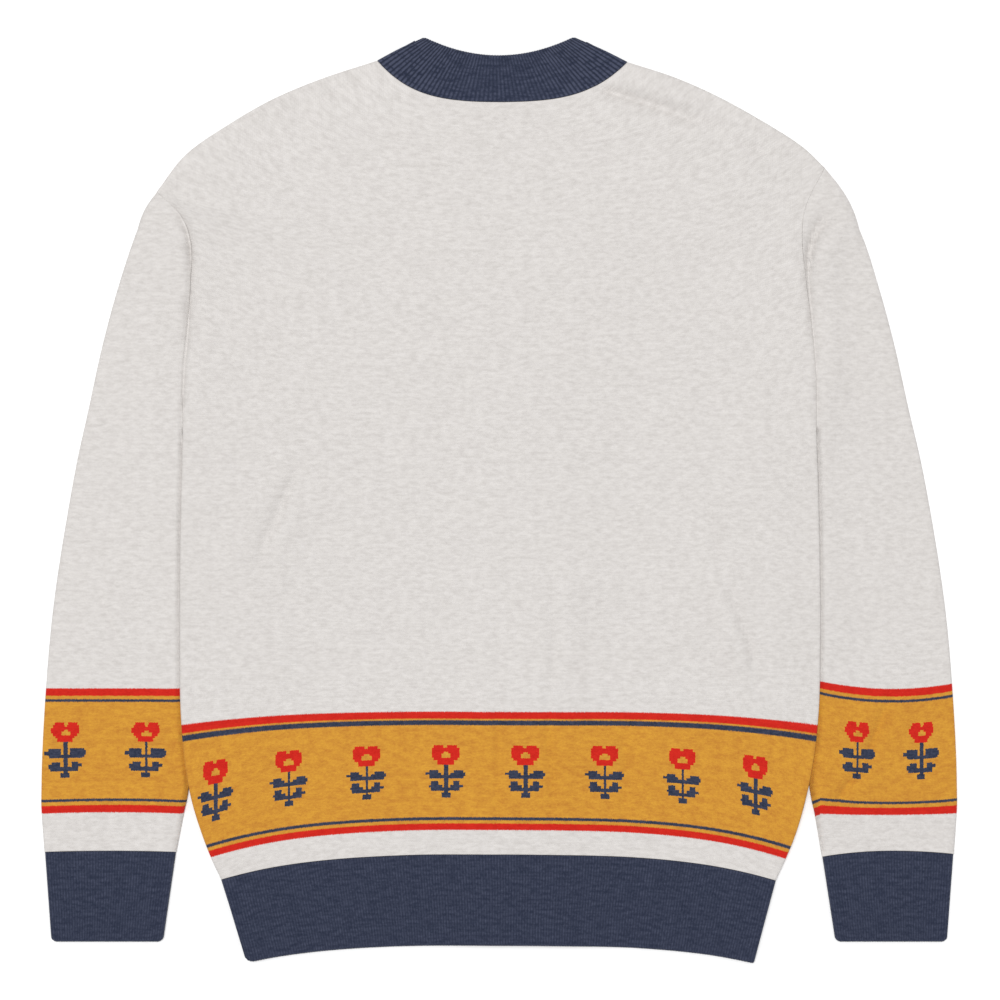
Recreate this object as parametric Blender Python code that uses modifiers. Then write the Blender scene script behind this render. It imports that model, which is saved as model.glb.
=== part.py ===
"""A knitted cardigan that lies flat on its front, with its back up.

Metres and +Z up in Blender; the sizes below are in millimetres. +Y points to the collar and +X to the
wearer's right. The origin is on the surface that the cardigan lies on, under the middle of its outline.
"""
import math
from collections import namedtuple

import bmesh
import bpy

MM = 0.001

# Cloth
CLOTH = 2.0                 # wall of the fine knit, and of a rib's valleys
HOLLOW = 0.6                # air between two layers that lie on each other
SEAM = 0.3                  # gap between pieces that are sewn together
STACK = 2 * CLOTH + HOLLOW  # height of a panel or sleeve that lies on the surface
MIDDLE = STACK / 2          # height at which upper and lower layer meet along the outline
RIB_RISE = 0.3              # a rib's crest over the fine knit beside it
RIB_RELIEF = 0.5            # a rib's crest over its valleys

# A layer rounds down to the outline: distance in from the edge, and share of its full height there.
EdgeStep = namedtuple("EdgeStep", "distance share")
EDGE_STEPS = (EdgeStep(0.0, 0.34), EdgeStep(0.8, 0.74), EdgeStep(2.6, 1.0))
INNER_SHARE = 0.5           # share of the hollow that is left where two layers meet at the outline
PANEL_SHARES = (0.05, 0.1, 0.145, 0.19, 0.25, 0.34)  # next columns, as shares of the half's width
PANEL_MIDDLE_COLUMNS = 6    # columns from there to the far side of the half
COURSE_SQUARE = 0.3         # a bent course is this share parabola, and the rest a fourth power
SQUEEZE_LIMIT = 0.8         # share of a narrow front that its close columns may take
SHARP_ANGLE = 50            # degrees between faces, from which an edge is shaded sharp
FRONT_END_ROUNDS = 30       # halvings that find where a bent course meets its band

# The body, from the hem seam up to the neck corner. Each row is a course of the knit: its height on
# the centre line, and where it meets the outline on the left and on the right.
BodyRow = namedtuple("BodyRow", "centre_y left_x left_y right_x right_y")
BODY_ROWS = (
    BodyRow(-277.2, -217.2, -296.6, 217.4, -296.6),  # seam of the hem rib
    BodyRow(-259.7, -224.6, -282.8, 224.6, -282.8),
    BodyRow(-238.5, -231.9, -262.1, 232.4, -262.1),
    BodyRow(-211.1, -241.0, -231.5, 241.8, -231.5),
    BodyRow(-183.6, -246.4, -198.5, 247.4, -198.5),
    BodyRow(-156.2, -248.9, -164.5, 250.2, -164.5),
    BodyRow(-117.0, -249.6, -117.0, 251.2, -117.0),
    BodyRow(-46.5, -249.4, -46.5, 250.8, -46.5),
    BodyRow(8.4, -248.4, 8.4, 249.8, 8.4),
    BodyRow(55.5, -247.0, 55.5, 248.8, 55.5),        # underarm
    BodyRow(90.7, -247.3, 100.9, 248.2, 98.6),
    BodyRow(122.1, -243.6, 137.8, 243.4, 135.4),
    BodyRow(149.5, -240.5, 173.1, 239.0, 173.1),
    BodyRow(174.6, -240.1, 204.4, 237.2, 208.3),
    BodyRow(196.6, -249.7, 226.4, 241.9, 234.2),
    BodyRow(213.8, -266.8, 242.1, 254.4, 260.9),     # top of the armhole
    BodyRow(233.4, -245.8, 271.1, 237.9, 278.1),
    BodyRow(254.6, -211.3, 295.4, 208.2, 297.0),
    BodyRow(275.0, -175.2, 315.8, 172.9, 316.5),
    BodyRow(294.6, -134.8, 332.2, 137.2, 332.2),
    BodyRow(312.6, -95.1, 345.2, 101.1, 343.9),      # seam of the neckband
)
UNDERARM_ROW = 9
ARMHOLE_TOP_ROW = 15
FRONT_TOP_SHARE = 0.8       # a front ends this far from the last row but one to the neck corner

# A sleeve, from the armhole down to the cuff's seam, as distances from the centre line. A section
# leaves both folds square to them by this share of its length, and is straight where that is 0.
SleeveRow = namedtuple("SleeveRow", "outer_x outer_y inner_x inner_y square")
SLEEVE_ROWS = (
    SleeveRow(283.4, 212.3, 241.9, 30.4, 0.4),
    SleeveRow(299.1, 165.2, 232.5, 0.6, 0.4),
    SleeveRow(311.6, 118.2, 224.6, -29.2, 0.4),
    SleeveRow(321.8, 71.1, 219.9, -55.9, 0.4),
    SleeveRow(330.5, 31.9, 219.1, -79.4, 0.4),
    SleeveRow(338.3, -11.2, 221.5, -101.3, 0.4),
    SleeveRow(345.4, -58.2, 226.2, -120.9, 0.4),
    SleeveRow(350.8, -101.3, 231.7, -137.4, 0.4),
    SleeveRow(354.8, -148.4, 236.4, -156.2, 0.4),
    SleeveRow(357.9, -195.4, 239.5, -197.0, 0.0),
    SleeveRow(358.7, -226.8, 241.9, -228.3, 0.0),
    SleeveRow(358.6, -244.0, 245.0, -246.4, 0.0),
    SleeveRow(356.3, -274.4, 251.6, -274.4, 0.0),    # seam of the cuff
)

# The sleeve's inner fold lies under the body and lifts the body's side.
LIFT = STACK + SEAM
LIFT_MARGIN = 12.0          # full lift reaches this far past the sleeve's fold
LIFT_RAMP = 28.0            # and falls to nothing over this width
LIFT_TOP_FULL = 80.0        # height, a little over the underarm, up to which the lift is full
LIFT_TOP_NONE = 160.0       # height, beside the armhole, from which there is none

# Ribs
RIB_PITCH = 2.25            # of the hem and the cuffs
NECK_RIBS = 52
CORNER_RADIUS = 5.0         # rounding of the ribs' lower corners, seen from above
HEM_BOTTOM = BodyRow(-348.3, -199.4, -362.7, 200.7, -362.7)
CuffEnd = namedtuple("CuffEnd", "outer_x inner_x y arch")
CUFF_TOP = CuffEnd(355.4, 252.0, -275.6, 1.0)
CUFF_BOTTOM = CuffEnd(350.6, 261.6, -345.8, 0.0)
CUFF_PLAIN_COLUMNS = 6      # columns across the underside of a cuff
CUFF_FOLD_SHARES = (0.0, 0.6, 0.95)  # height of the first ribbed columns beside a cuff's fold
CUFF_WALL_COLUMNS = 4       # ribbed columns inside a cuff that make room for the wall at its fold

# Neckband, along its free edge: the shoulder folds are its two ends.
NECK_LEFT_PEAK = (-60.0, 362.7)
NECK_RIGHT_PEAK = (60.8, 362.7)
NECK_DIP = 349.4            # height of the free edge on the centre line
NECK_STRIPS = 2
NECK_SEAM_RISE = 0.45       # the seam's gap along Y, where the seam is steep

# Button bands: a strip from the hem, up the front and along the V neck to the shoulder fold. They
# overlap at the front, which lies a little to the right of the back's centre line.
BAND_WIDTH = 38.0
BAND_X = 20.0
BAND_BOTTOM = -348.6
BAND_STRAIGHT_TOP = 70.0
BAND_BEND = 60.0            # how far the strip runs square to the shoulder fold before it bends
BAND_NECK_CONTROL = {"left": (-12.0, 190.0), "right": (40.0, 190.0)}
BAND_NECK_SAMPLES = 9
BAND_STRAIGHT_SAMPLES = 6
BAND_REACH = 42.0           # a front rises to its band over this width
RIDGE_REACH = 70.0          # and the back rises over both bands over this one
RIDGE_TOP_FULL = 180.0
RIDGE_TOP_NONE = 270.0

# Buttons, on the outside of the left band and so between it and the surface
BUTTON_COUNT = 6
BUTTON_TOP_Y = 118.0
BUTTON_SPACING = 86.5
BUTTON_RADIUS = 9.0
BUTTON_THICKNESS = 2.2
BUTTON_RIM = 1.8            # width of the raised rim
BUTTON_DISH = 0.6           # depth of the face inside the rim
BUTTON_BEVEL = 0.5          # of the outer corners
BUTTON_SLOPE = 0.8          # width over which the rim falls to the face
BUTTON_SEGMENTS = 20
MERGE_DISTANCE = 0.00001    # in metres, where the turned profile meets itself
LEFT_BAND_BASE = BUTTON_THICKNESS + SEAM
RIGHT_BAND_BASE = LEFT_BAND_BASE + CLOTH + SEAM
RIDGE_CLEARANCE = 0.5       # between the upper band and the back
RIDGE = RIGHT_BAND_BASE + RIDGE_CLEARANCE - HOLLOW

# Heights between which a band climbs from the surface to its place in the overlap
BandClimb = namedtuple("BandClimb", "base full none")
BAND_CLIMB = {"left": BandClimb(LEFT_BAND_BASE, 135.0, 190.0),
              "right": BandClimb(RIGHT_BAND_BASE, 170.0, 240.0)}

# Colours, as linear red, green and blue
CREAM = (0.72, 0.69, 0.67)
NAVY = (0.045, 0.055, 0.105)
BUTTON_NAVY = (0.03, 0.035, 0.06)


def mix(start, end, share):
    """The value a share of the way from start to end."""
    return start + (end - start) * share


def ease(share):
    """A share held between 0 and 1 and eased at both ends."""
    held = min(1.0, max(0.0, share))
    return held * held * (3 - 2 * held)


def value_at(points, key):
    """Read a table of (key, value) pairs, sorted by key, between its rows."""
    if key <= points[0][0]:
        return points[0][1]
    for (low, low_value), (high, high_value) in zip(points, points[1:]):
        if key <= high:
            return mix(low_value, high_value, (key - low) / (high - low))
    return points[-1][1]


# ---- heights --------------------------------------------------------------------------------------

def sleeve_fold_table():
    """How far from the centre line the sleeve's inner fold runs, by height."""
    rows = [(row.inner_y, row.inner_x) for row in SLEEVE_ROWS]
    underarm = BODY_ROWS[UNDERARM_ROW]
    rows.append((underarm.right_y, underarm.right_x))
    return sorted(rows)


SLEEVE_FOLD = sleeve_fold_table()


def side_lift(x, y):
    """How far the sleeve underneath raises the body."""
    start = value_at(SLEEVE_FOLD, y) - LIFT_MARGIN - LIFT_RAMP
    across = ease((abs(x) - start) / LIFT_RAMP)
    along = ease((LIFT_TOP_NONE - y) / (LIFT_TOP_NONE - LIFT_TOP_FULL))
    return LIFT * across * along


def band_base(side, y):
    """Height of a button band's underside."""
    climb = BAND_CLIMB[side]
    return climb.base * ease((climb.none - y) / (climb.none - climb.full))


def front_base(side, x, y):
    """Height of a front's underside: on the surface, over the sleeve, and up to its band."""
    towards_band = BAND_SIGN[side] * (band_seam_x(side, y) - x)
    return side_lift(x, y) + band_base(side, y) * ease(1 - towards_band / BAND_REACH)


def back_base(x, y):
    """Height of the back's underside, which lies on the fronts and over their bands."""
    beside = max(0.0, x - band_seam_x("right", y), band_seam_x("left", y) - x)
    along = ease((RIDGE_TOP_NONE - y) / (RIDGE_TOP_NONE - RIDGE_TOP_FULL))
    return CLOTH + HOLLOW + side_lift(x, y) + RIDGE * along * ease(1 - beside / RIDGE_REACH)


# ---- lines in the plan ------------------------------------------------------------------------------

def course_y(row, x):
    """Height of a course of the body at x, bent from its middle to where it meets the outline."""
    edge_x, edge_y = (row.left_x, row.left_y) if x < 0 else (row.right_x, row.right_y)
    square = min(1.0, (x / edge_x) ** 2)
    return mix(row.centre_y, edge_y, COURSE_SQUARE * square + (1 - COURSE_SQUARE) * square ** 2)


def steps_across(half_width, reach):
    """Distances in from the outline as far as reach, close together near the outline."""
    near = [step.distance for step in EDGE_STEPS] + [share * half_width for share in PANEL_SHARES]
    squeeze = min(1.0, SQUEEZE_LIMIT * reach / near[-1])
    near = [distance * squeeze for distance in near]
    shares = [(index + 1) / PANEL_MIDDLE_COLUMNS for index in range(PANEL_MIDDLE_COLUMNS)]
    return near + [mix(near[-1], reach, share) for share in shares]


def edge_share(index, count):
    """Share of a layer's full height at a column, counted from both outlines."""
    from_edge = min(index, count - 1 - index)
    return EDGE_STEPS[from_edge].share if from_edge < len(EDGE_STEPS) else 1.0


def shifted_row(row, shift):
    """A course of the body moved along Y, such as the far side of a seam's gap."""
    return BodyRow(row.centre_y + shift, row.left_x, row.left_y + shift, row.right_x, row.right_y + shift)


def mixed_row(low, high, share):
    """The course a share of the way from one to the next."""
    return BodyRow(*(mix(start, end, share) for start, end in zip(low, high)))


def bezier(points, share):
    """A point on a cubic curve, and its direction there."""
    (ax, ay), (bx, by), (cx, cy), (dx, dy) = points
    rest = 1 - share
    weights = (rest ** 3, 3 * rest ** 2 * share, 3 * rest * share ** 2, share ** 3)
    slopes = (3 * rest ** 2, 6 * rest * share, 3 * share ** 2)
    place = (weights[0] * ax + weights[1] * bx + weights[2] * cx + weights[3] * dx,
             weights[0] * ay + weights[1] * by + weights[2] * cy + weights[3] * dy)
    way = (slopes[0] * (bx - ax) + slopes[1] * (cx - bx) + slopes[2] * (dx - cx),
           slopes[0] * (by - ay) + slopes[1] * (cy - by) + slopes[2] * (dy - cy))
    return place, way


def shoulder_fold(side):
    """The fold of the neckband at a shoulder, from the neck corner to the free edge's peak."""
    corner = BODY_ROWS[-1]
    if side == "left":
        return (corner.left_x, corner.left_y), NECK_LEFT_PEAK
    return (corner.right_x, corner.right_y), NECK_RIGHT_PEAK


def band_line(side):
    """Places along a button band from the hem to the shoulder fold, each with the way to its seam."""
    sign = BAND_SIGN[side]
    line = []
    for index in range(BAND_STRAIGHT_SAMPLES):
        y = mix(BAND_BOTTOM, BAND_STRAIGHT_TOP, index / BAND_STRAIGHT_SAMPLES)
        line.append(((BAND_X, y), (-sign, 0.0)))
    (corner_x, corner_y), (peak_x, peak_y) = shoulder_fold(side)
    fold_length = math.hypot(peak_x - corner_x, peak_y - corner_y)
    square = (sign * (peak_y - corner_y) / fold_length, -sign * (peak_x - corner_x) / fold_length)
    top = ((corner_x + peak_x) / 2, (corner_y + peak_y) / 2)
    bend = (top[0] + BAND_BEND * square[0], top[1] + BAND_BEND * square[1])
    curve = ((BAND_X, BAND_STRAIGHT_TOP), BAND_NECK_CONTROL[side], bend, top)
    for index in range(BAND_NECK_SAMPLES + 1):
        place, (way_x, way_y) = bezier(curve, index / BAND_NECK_SAMPLES)
        length = math.hypot(way_x, way_y)
        line.append((place, (-sign * way_y / length, sign * way_x / length)))
    return line


def band_edge(side, offset):
    """A line beside the middle of a button band, towards its seam."""
    return [(x + offset * way_x, y + offset * way_y) for (x, y), (way_x, way_y) in BAND_LINES[side]]


def band_seam_x(side, y):
    """Where a front meets its button band at this height."""
    return value_at(BAND_SEAMS[side], y)


BAND_SIGN = {"left": 1, "right": -1}   # the way along X from the front to its band
BAND_LINES = {side: band_line(side) for side in BAND_SIGN}
BAND_SEAMS = {side: [(y, x) for x, y in band_edge(side, BAND_WIDTH / 2 + SEAM)] for side in BAND_SIGN}


def front_end_x(side, row):
    """Where a course of a front ends at its button band."""
    x = BAND_X
    for _ in range(FRONT_END_ROUNDS):
        x = (x + band_seam_x(side, course_y(row, x))) / 2
    return x


def armhole(side):
    """The armhole's line from its top down to the underarm, a seam's gap out from the body."""
    points = []
    for row in reversed(BODY_ROWS[UNDERARM_ROW:ARMHOLE_TOP_ROW + 1]):
        points.append((-row.left_x, row.left_y) if side == "left" else (row.right_x, row.right_y))
    halves = [points[0]]
    for start, end in zip(points, points[1:]):
        halves.append((mix(start[0], end[0], 0.5), mix(start[1], end[1], 0.5)))
        halves.append(end)
    return [(x + SEAM, y) for x, y in halves]


def shares_along(points):
    """How far along a line each of its points lies, as a share of its length."""
    lengths = [0.0]
    for (start_x, start_y), (end_x, end_y) in zip(points, points[1:]):
        lengths.append(lengths[-1] + math.hypot(end_x - start_x, end_y - start_y))
    return [length / lengths[-1] for length in lengths]


# ---- solids -------------------------------------------------------------------------------------------

def new_object(name, mesh, material):
    """Put a mesh in the cardigan's collection, shaded smooth but for its sharp edges."""
    mesh.shade_smooth()
    mesh.set_sharp_from_angle(angle=math.radians(SHARP_ANGLE))
    mesh.materials.append(material)
    piece = bpy.data.objects.new(name, mesh)
    GARMENT.objects.link(piece)
    return piece


def quads_between(bm, first, second):
    """Faces from one line of vertices to the next. A line that ends on its first vertex is a ring."""
    for index in range(len(first) - 1):
        bm.faces.new((first[index], first[index + 1], second[index + 1], second[index]))


def add_grid(bm, grid):
    """The vertices of a grid of points in millimetres, row by row."""
    return [[bm.verts.new((x * MM, y * MM, z * MM)) for x, y, z in row] for row in grid]


def mesh_of(bm, name):
    """A mesh with its faces turned outwards."""
    bmesh.ops.recalc_face_normals(bm, faces=bm.faces)
    mesh = bpy.data.meshes.new(name)
    bm.to_mesh(mesh)
    bm.free()
    return mesh


def panel(name, top, bottom, material):
    """A wall of cloth between an upper and a lower grid of points, closed all round its edge."""
    bm = bmesh.new()
    upper = add_grid(bm, top)
    lower = add_grid(bm, bottom)
    for grid in (upper, lower):
        for row, next_row in zip(grid, grid[1:]):
            quads_between(bm, row, next_row)
    for end in (0, -1):
        quads_between(bm, upper[end], lower[end])
        quads_between(bm, [row[end] for row in upper], [row[end] for row in lower])
    return new_object(name, mesh_of(bm, name), material)


def tube(name, outside, inside, material):
    """A flattened tube of cloth between outer and inner rings, open at both ends."""
    bm = bmesh.new()
    outer = add_grid(bm, outside)
    inner = add_grid(bm, inside)
    rings = [[ring + ring[:1] for ring in grid] for grid in (outer, inner)]
    for grid in rings:
        for ring, next_ring in zip(grid, grid[1:]):
            quads_between(bm, ring, next_ring)
    for end in (0, -1):
        quads_between(bm, rings[0][end], rings[1][end])
    return new_object(name, mesh_of(bm, name), material)


# ---- body ---------------------------------------------------------------------------------------------

def body_columns(row):
    """The columns of the back along a course, from the left outline to the right."""
    left = [row.left_x + distance for distance in steps_across(-row.left_x, -row.left_x)]
    right = [row.right_x - distance for distance in steps_across(row.right_x, row.right_x)]
    return left + right[-2::-1]


def back_layer(x, y, share, crest=0.0):
    """Upper and lower height of the back: its underside is plain and its upper side rounds down."""
    base = back_base(x, y)
    middle = base - HOLLOW / 2
    lower = middle + HOLLOW / 2 * (share if share == 1.0 else INNER_SHARE)
    return middle + (HOLLOW / 2 + CLOTH + crest) * share, lower


def front_layer(side, x, y, share):
    """Upper and lower height of a front: its upper side is plain and its underside rounds up."""
    base = front_base(side, x, y)
    middle = base + CLOTH + HOLLOW / 2
    upper = middle - HOLLOW / 2 * (share if share == 1.0 else INNER_SHARE)
    return upper, middle - (HOLLOW / 2 + CLOTH) * share


def make_back(material):
    """The back, from the hem seam to the neck and out to the side seams, armholes and shoulders."""
    top, bottom = [], []
    for row in BODY_ROWS:
        columns = body_columns(row)
        places = [(x, course_y(row, x)) for x in columns]
        heights = [back_layer(x, y, edge_share(index, len(columns)))
                   for index, (x, y) in enumerate(places)]
        top.append([(x, y, upper) for (x, y), (upper, _) in zip(places, heights)])
        bottom.append([(x, y, lower) for (x, y), (_, lower) in zip(places, heights)])
    return panel("back", top, bottom, material)


def front_places(side, row):
    """The columns of a front along a course, from left to right, and each one's share of the height."""
    edge_x = row.left_x if side == "left" else row.right_x
    sign = BAND_SIGN[side]
    distances = steps_across(abs(edge_x), abs(front_end_x(side, row) - edge_x))
    places = []
    for index, distance in enumerate(distances):
        x = edge_x + sign * distance
        share = EDGE_STEPS[index].share if index < len(EDGE_STEPS) else 1.0
        places.append((x, course_y(row, x), share))
    return places if side == "left" else places[::-1]


def make_front_panel(name, side, rows, material):
    """A front, or the rib below it, over the given courses."""
    top, bottom = [], []
    for row in rows:
        places = front_places(side, row)
        heights = [front_layer(side, x, y, share) for x, y, share in places]
        top.append([(x, y, upper) for (x, y, _), (upper, _) in zip(places, heights)])
        bottom.append([(x, y, lower) for (x, y, _), (_, lower) in zip(places, heights)])
    return panel(name, top, bottom, material)


def make_fronts(material):
    """Both fronts, which follow the back's courses out to the same outline."""
    last = mixed_row(BODY_ROWS[-2], BODY_ROWS[-1], FRONT_TOP_SHARE)
    rows = BODY_ROWS[:-1] + (last,)
    for side in BAND_SIGN:
        make_front_panel("front_" + side, side, rows, material)


# ---- sleeves and cuffs --------------------------------------------------------------------------------

def way_to(start, end):
    """The direction from one point to another, of length 1."""
    length = math.hypot(end[0] - start[0], end[1] - start[1])
    return (end[0] - start[0]) / length, (end[1] - start[1]) / length


def way_between(first, second):
    """The direction half way between two others."""
    return way_to((0.0, 0.0), (first[0] + second[0], first[1] + second[1]))


def inwards(fold, index, sign):
    """The way square to a fold at one of its points, to the left where sign is 1 and else right."""
    way_x, way_y = way_to(fold[max(0, index - 1)], fold[min(len(fold) - 1, index + 1)])
    return sign * way_y, -sign * way_x


def curved_section(row, ways, shares):
    """Points across a sleeve from its outer fold to its inner one."""
    start, end = (row.outer_x, row.outer_y), (row.inner_x, row.inner_y)
    reach = row.square * math.hypot(end[0] - start[0], end[1] - start[1])
    after_start = [place + reach * way for place, way in zip(start, ways[0])]
    before_end = [place + reach * way for place, way in zip(end, ways[1])]
    if reach == 0:
        return [(mix(start[0], end[0], share), mix(start[1], end[1], share)) for share in shares]
    return [bezier((start, after_start, before_end, end), share)[0] for share in shares]


def sleeve_sections(side):
    """The sections of a sleeve, and for each one the ways that lead in from its two folds."""
    seam = armhole(side)
    shares = shares_along(seam)
    outer_fold = [seam[0]] + [(row.outer_x, row.outer_y) for row in SLEEVE_ROWS]
    inner_fold = [seam[-1]] + [(row.inner_x, row.inner_y) for row in SLEEVE_ROWS]
    underarm_way = way_between(way_to(seam[-1], seam[-2]), inwards(inner_fold, 0, -1))
    sections = [(seam, (way_to(seam[0], seam[1]), underarm_way))]
    for index, row in enumerate(SLEEVE_ROWS, start=1):
        ways = (inwards(outer_fold, index, 1), inwards(inner_fold, index, -1))
        sections.append((curved_section(row, ways, shares), ways))
    return sections


def with_edge_steps(line, ways):
    """A section with the points that round its two folds, and each point's share of the height."""
    def step_in(start, towards, way, distance):
        step_x, step_y = way_between(way, way_to(start, towards))
        return start[0] + distance * step_x, start[1] + distance * step_y

    steps = EDGE_STEPS[1:]
    first = [(step_in(line[0], line[1], ways[0], step.distance), step.share) for step in steps]
    last = [(step_in(line[-1], line[-2], ways[1], step.distance), step.share)
            for step in reversed(steps)]
    between = [(point, 1.0) for point in line[1:-1]]
    return [(line[0], 0.0)] + first + between + last + [(line[-1], 0.0)]


def walled(line, ways, columns=1):
    """The inside of a section: its first columns are moved in from both folds to leave a wall there."""
    moved = []
    for index, (x, y) in enumerate(line):
        near_start = max(0.0, 1 - index / columns) * CLOTH
        near_end = max(0.0, 1 - (len(line) - 1 - index) / columns) * CLOTH
        moved.append((x + near_start * ways[0][0] + near_end * ways[1][0],
                      y + near_start * ways[0][1] + near_end * ways[1][1]))
    return moved


def flat_ring(upper_line, lower_line, upper_height, lower_height):
    """A flattened ring from an upper and a lower line of (point, share), which share their ends."""
    ring = [(x, y, MIDDLE + share * upper_height(index))
            for index, ((x, y), share) in enumerate(upper_line)]
    ring += [(x, y, MIDDLE - share * lower_height) for (x, y), share in lower_line[-2:0:-1]]
    return ring


def mirrored(rings, side):
    """Rings given as distances from the centre line, put on their side of it."""
    sign = -1 if side == "left" else 1
    return [[(sign * x, y, z) for x, y, z in ring] for ring in rings]


def make_sleeve(side, material):
    """A sleeve: one piece of knit closed along the underarm, flattened, and open at both ends."""
    outside, inside = [], []
    for line, ways in sleeve_sections(side):
        outer = with_edge_steps(line, ways)
        inner = with_edge_steps(walled(line, ways), ways)
        outside.append(flat_ring(outer, outer, lambda index: STACK / 2, STACK / 2))
        inside.append(flat_ring(inner, inner, lambda index: HOLLOW / 2, HOLLOW / 2))
    return tube("sleeve_" + side, mirrored(outside, side), mirrored(inside, side), material)


def rib_crest(index):
    """Height of a ribbed surface over the fine knit: crests on even columns, valleys on odd ones."""
    return RIB_RISE - (RIB_RELIEF if index % 2 else 0.0)


def cuff_line(end, count):
    """Points along an end of a cuff, from the outer fold to the inner fold."""
    points = []
    for index in range(count + 1):
        share = index / count
        arch = end.arch * 4 * share * (1 - share)
        points.append((mix(end.outer_x, end.inner_x, share), end.y + arch))
    return points if end is CUFF_TOP else with_round_corners(points)


def with_rib_shares(line):
    """A ribbed section, and each point's share of the height."""
    shares = dict(enumerate(CUFF_FOLD_SHARES))
    return [(point, shares.get(min(index, len(line) - 1 - index), 1.0))
            for index, point in enumerate(line)]


def make_cuff(side, material):
    """A ribbed cuff: a flattened tube whose underside is plain, because it rests on the surface."""
    ribs = round((CUFF_TOP.outer_x - CUFF_TOP.inner_x) / RIB_PITCH)
    ways = ((-1.0, 0.0), (1.0, 0.0))
    outside, inside = [], []
    for end in (CUFF_TOP, CUFF_BOTTOM):
        ribbed = cuff_line(end, 2 * ribs)
        plain = cuff_line(end, CUFF_PLAIN_COLUMNS)
        outside.append(flat_ring(with_rib_shares(ribbed), with_edge_steps(plain, ways),
                                 lambda index: STACK / 2 + rib_crest(index), STACK / 2))
        inside.append(flat_ring(with_rib_shares(walled(ribbed, ways, CUFF_WALL_COLUMNS)),
                                with_edge_steps(walled(plain, ways), ways),
                                lambda index: HOLLOW / 2, HOLLOW / 2))
    return tube("cuff_" + side, mirrored(outside, side), mirrored(inside, side), material)


def with_round_corners(line):
    """A lower edge whose two ends curve up by the corner radius."""
    rounded = []
    for x, y in line:
        distance = min(abs(x - line[0][0]), abs(x - line[-1][0]), CORNER_RADIUS)
        short = CORNER_RADIUS - distance
        rounded.append((x, y + CORNER_RADIUS - math.sqrt(CORNER_RADIUS ** 2 - short ** 2)))
    return rounded


# ---- hem ribs -----------------------------------------------------------------------------------------

def make_hem_back(material):
    """The ribbed hem of the back. Its underside is plain, and lies on the hem of the fronts."""
    seam_row = shifted_row(BODY_ROWS[0], -SEAM)
    ribs = round((seam_row.right_x - seam_row.left_x) / RIB_PITCH)
    shares = [index / (2 * ribs) for index in range(2 * ribs + 1)]
    top, bottom = [], []
    for row in (seam_row, HEM_BOTTOM):
        line = [(x, course_y(row, x)) for x in (mix(row.left_x, row.right_x, share) for share in shares)]
        if row is HEM_BOTTOM:
            line = with_round_corners(line)
        heights = [back_layer(x, y, edge_share(index, len(line)), rib_crest(index))
                   for index, (x, y) in enumerate(line)]
        top.append([(x, y, upper) for (x, y), (upper, _) in zip(line, heights)])
        bottom.append([(x, y, lower) for (x, y), (_, lower) in zip(line, heights)])
    return panel("hem_rib_back", top, bottom, material)


def make_hem_fronts(material):
    """The hem of each front, plain on the side that rests on the surface."""
    rows = (HEM_BOTTOM, shifted_row(BODY_ROWS[0], -SEAM))
    for side in BAND_SIGN:
        make_front_panel("hem_rib_front_" + side, side, rows, material)


# ---- neckband and button bands ------------------------------------------------------------------------

def evenly_along(points, count):
    """Points spaced evenly along a line that is given by many points."""
    shares = shares_along(points)
    xs = [(share, x) for share, (x, _) in zip(shares, points)]
    ys = [(share, y) for share, (_, y) in zip(shares, points)]
    return [(value_at(xs, index / count), value_at(ys, index / count)) for index in range(count + 1)]


def neck_free_edge(x):
    """Height of the neckband's free edge, which dips between the two shoulder folds."""
    peak_x, peak_y = NECK_LEFT_PEAK if x < 0 else NECK_RIGHT_PEAK
    return mix(NECK_DIP, peak_y, (x / peak_x) ** 2)


def make_neckband(material):
    """The ribbed band along the back neck, which ends in a fold at each shoulder."""
    seam_row = shifted_row(BODY_ROWS[-1], NECK_SEAM_RISE)
    seam = evenly_along([(x, course_y(seam_row, x)) for x in body_columns(seam_row)], 2 * NECK_RIBS)
    edge_xs = [mix(NECK_LEFT_PEAK[0], NECK_RIGHT_PEAK[0], index / NECK_RIBS)
               for index in range(NECK_RIBS + 1)]
    free = evenly_along([(x, neck_free_edge(x)) for x in edge_xs], 2 * NECK_RIBS)
    top, bottom = [], []
    for strip in range(NECK_STRIPS + 1):
        share = strip / NECK_STRIPS
        line = [(mix(start[0], end[0], share), mix(start[1], end[1], share))
                for start, end in zip(seam, free)]
        heights = [back_layer(x, y, edge_share(index, len(line)), rib_crest(index))
                   for index, (x, y) in enumerate(line)]
        top.append([(x, y, upper) for (x, y), (upper, _) in zip(line, heights)])
        bottom.append([(x, y, lower) for (x, y), (_, lower) in zip(line, heights)])
    return panel("neckband", top, bottom, material)


def make_front_band(side, material):
    """A button band: a flat strip from the hem to the shoulder fold."""
    offsets = (-BAND_WIDTH / 2, 0.0, BAND_WIDTH / 2)
    edges = [band_edge(side, offset) for offset in offsets]
    top, bottom = [], []
    for points in zip(*edges):
        bases = [band_base(side, y) for _, y in points]
        bottom.append([(x, y, base) for (x, y), base in zip(points, bases)])
        top.append([(x, y, base + CLOTH) for (x, y), base in zip(points, bases)])
    return panel("front_band_" + side, top, bottom, material)


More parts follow.
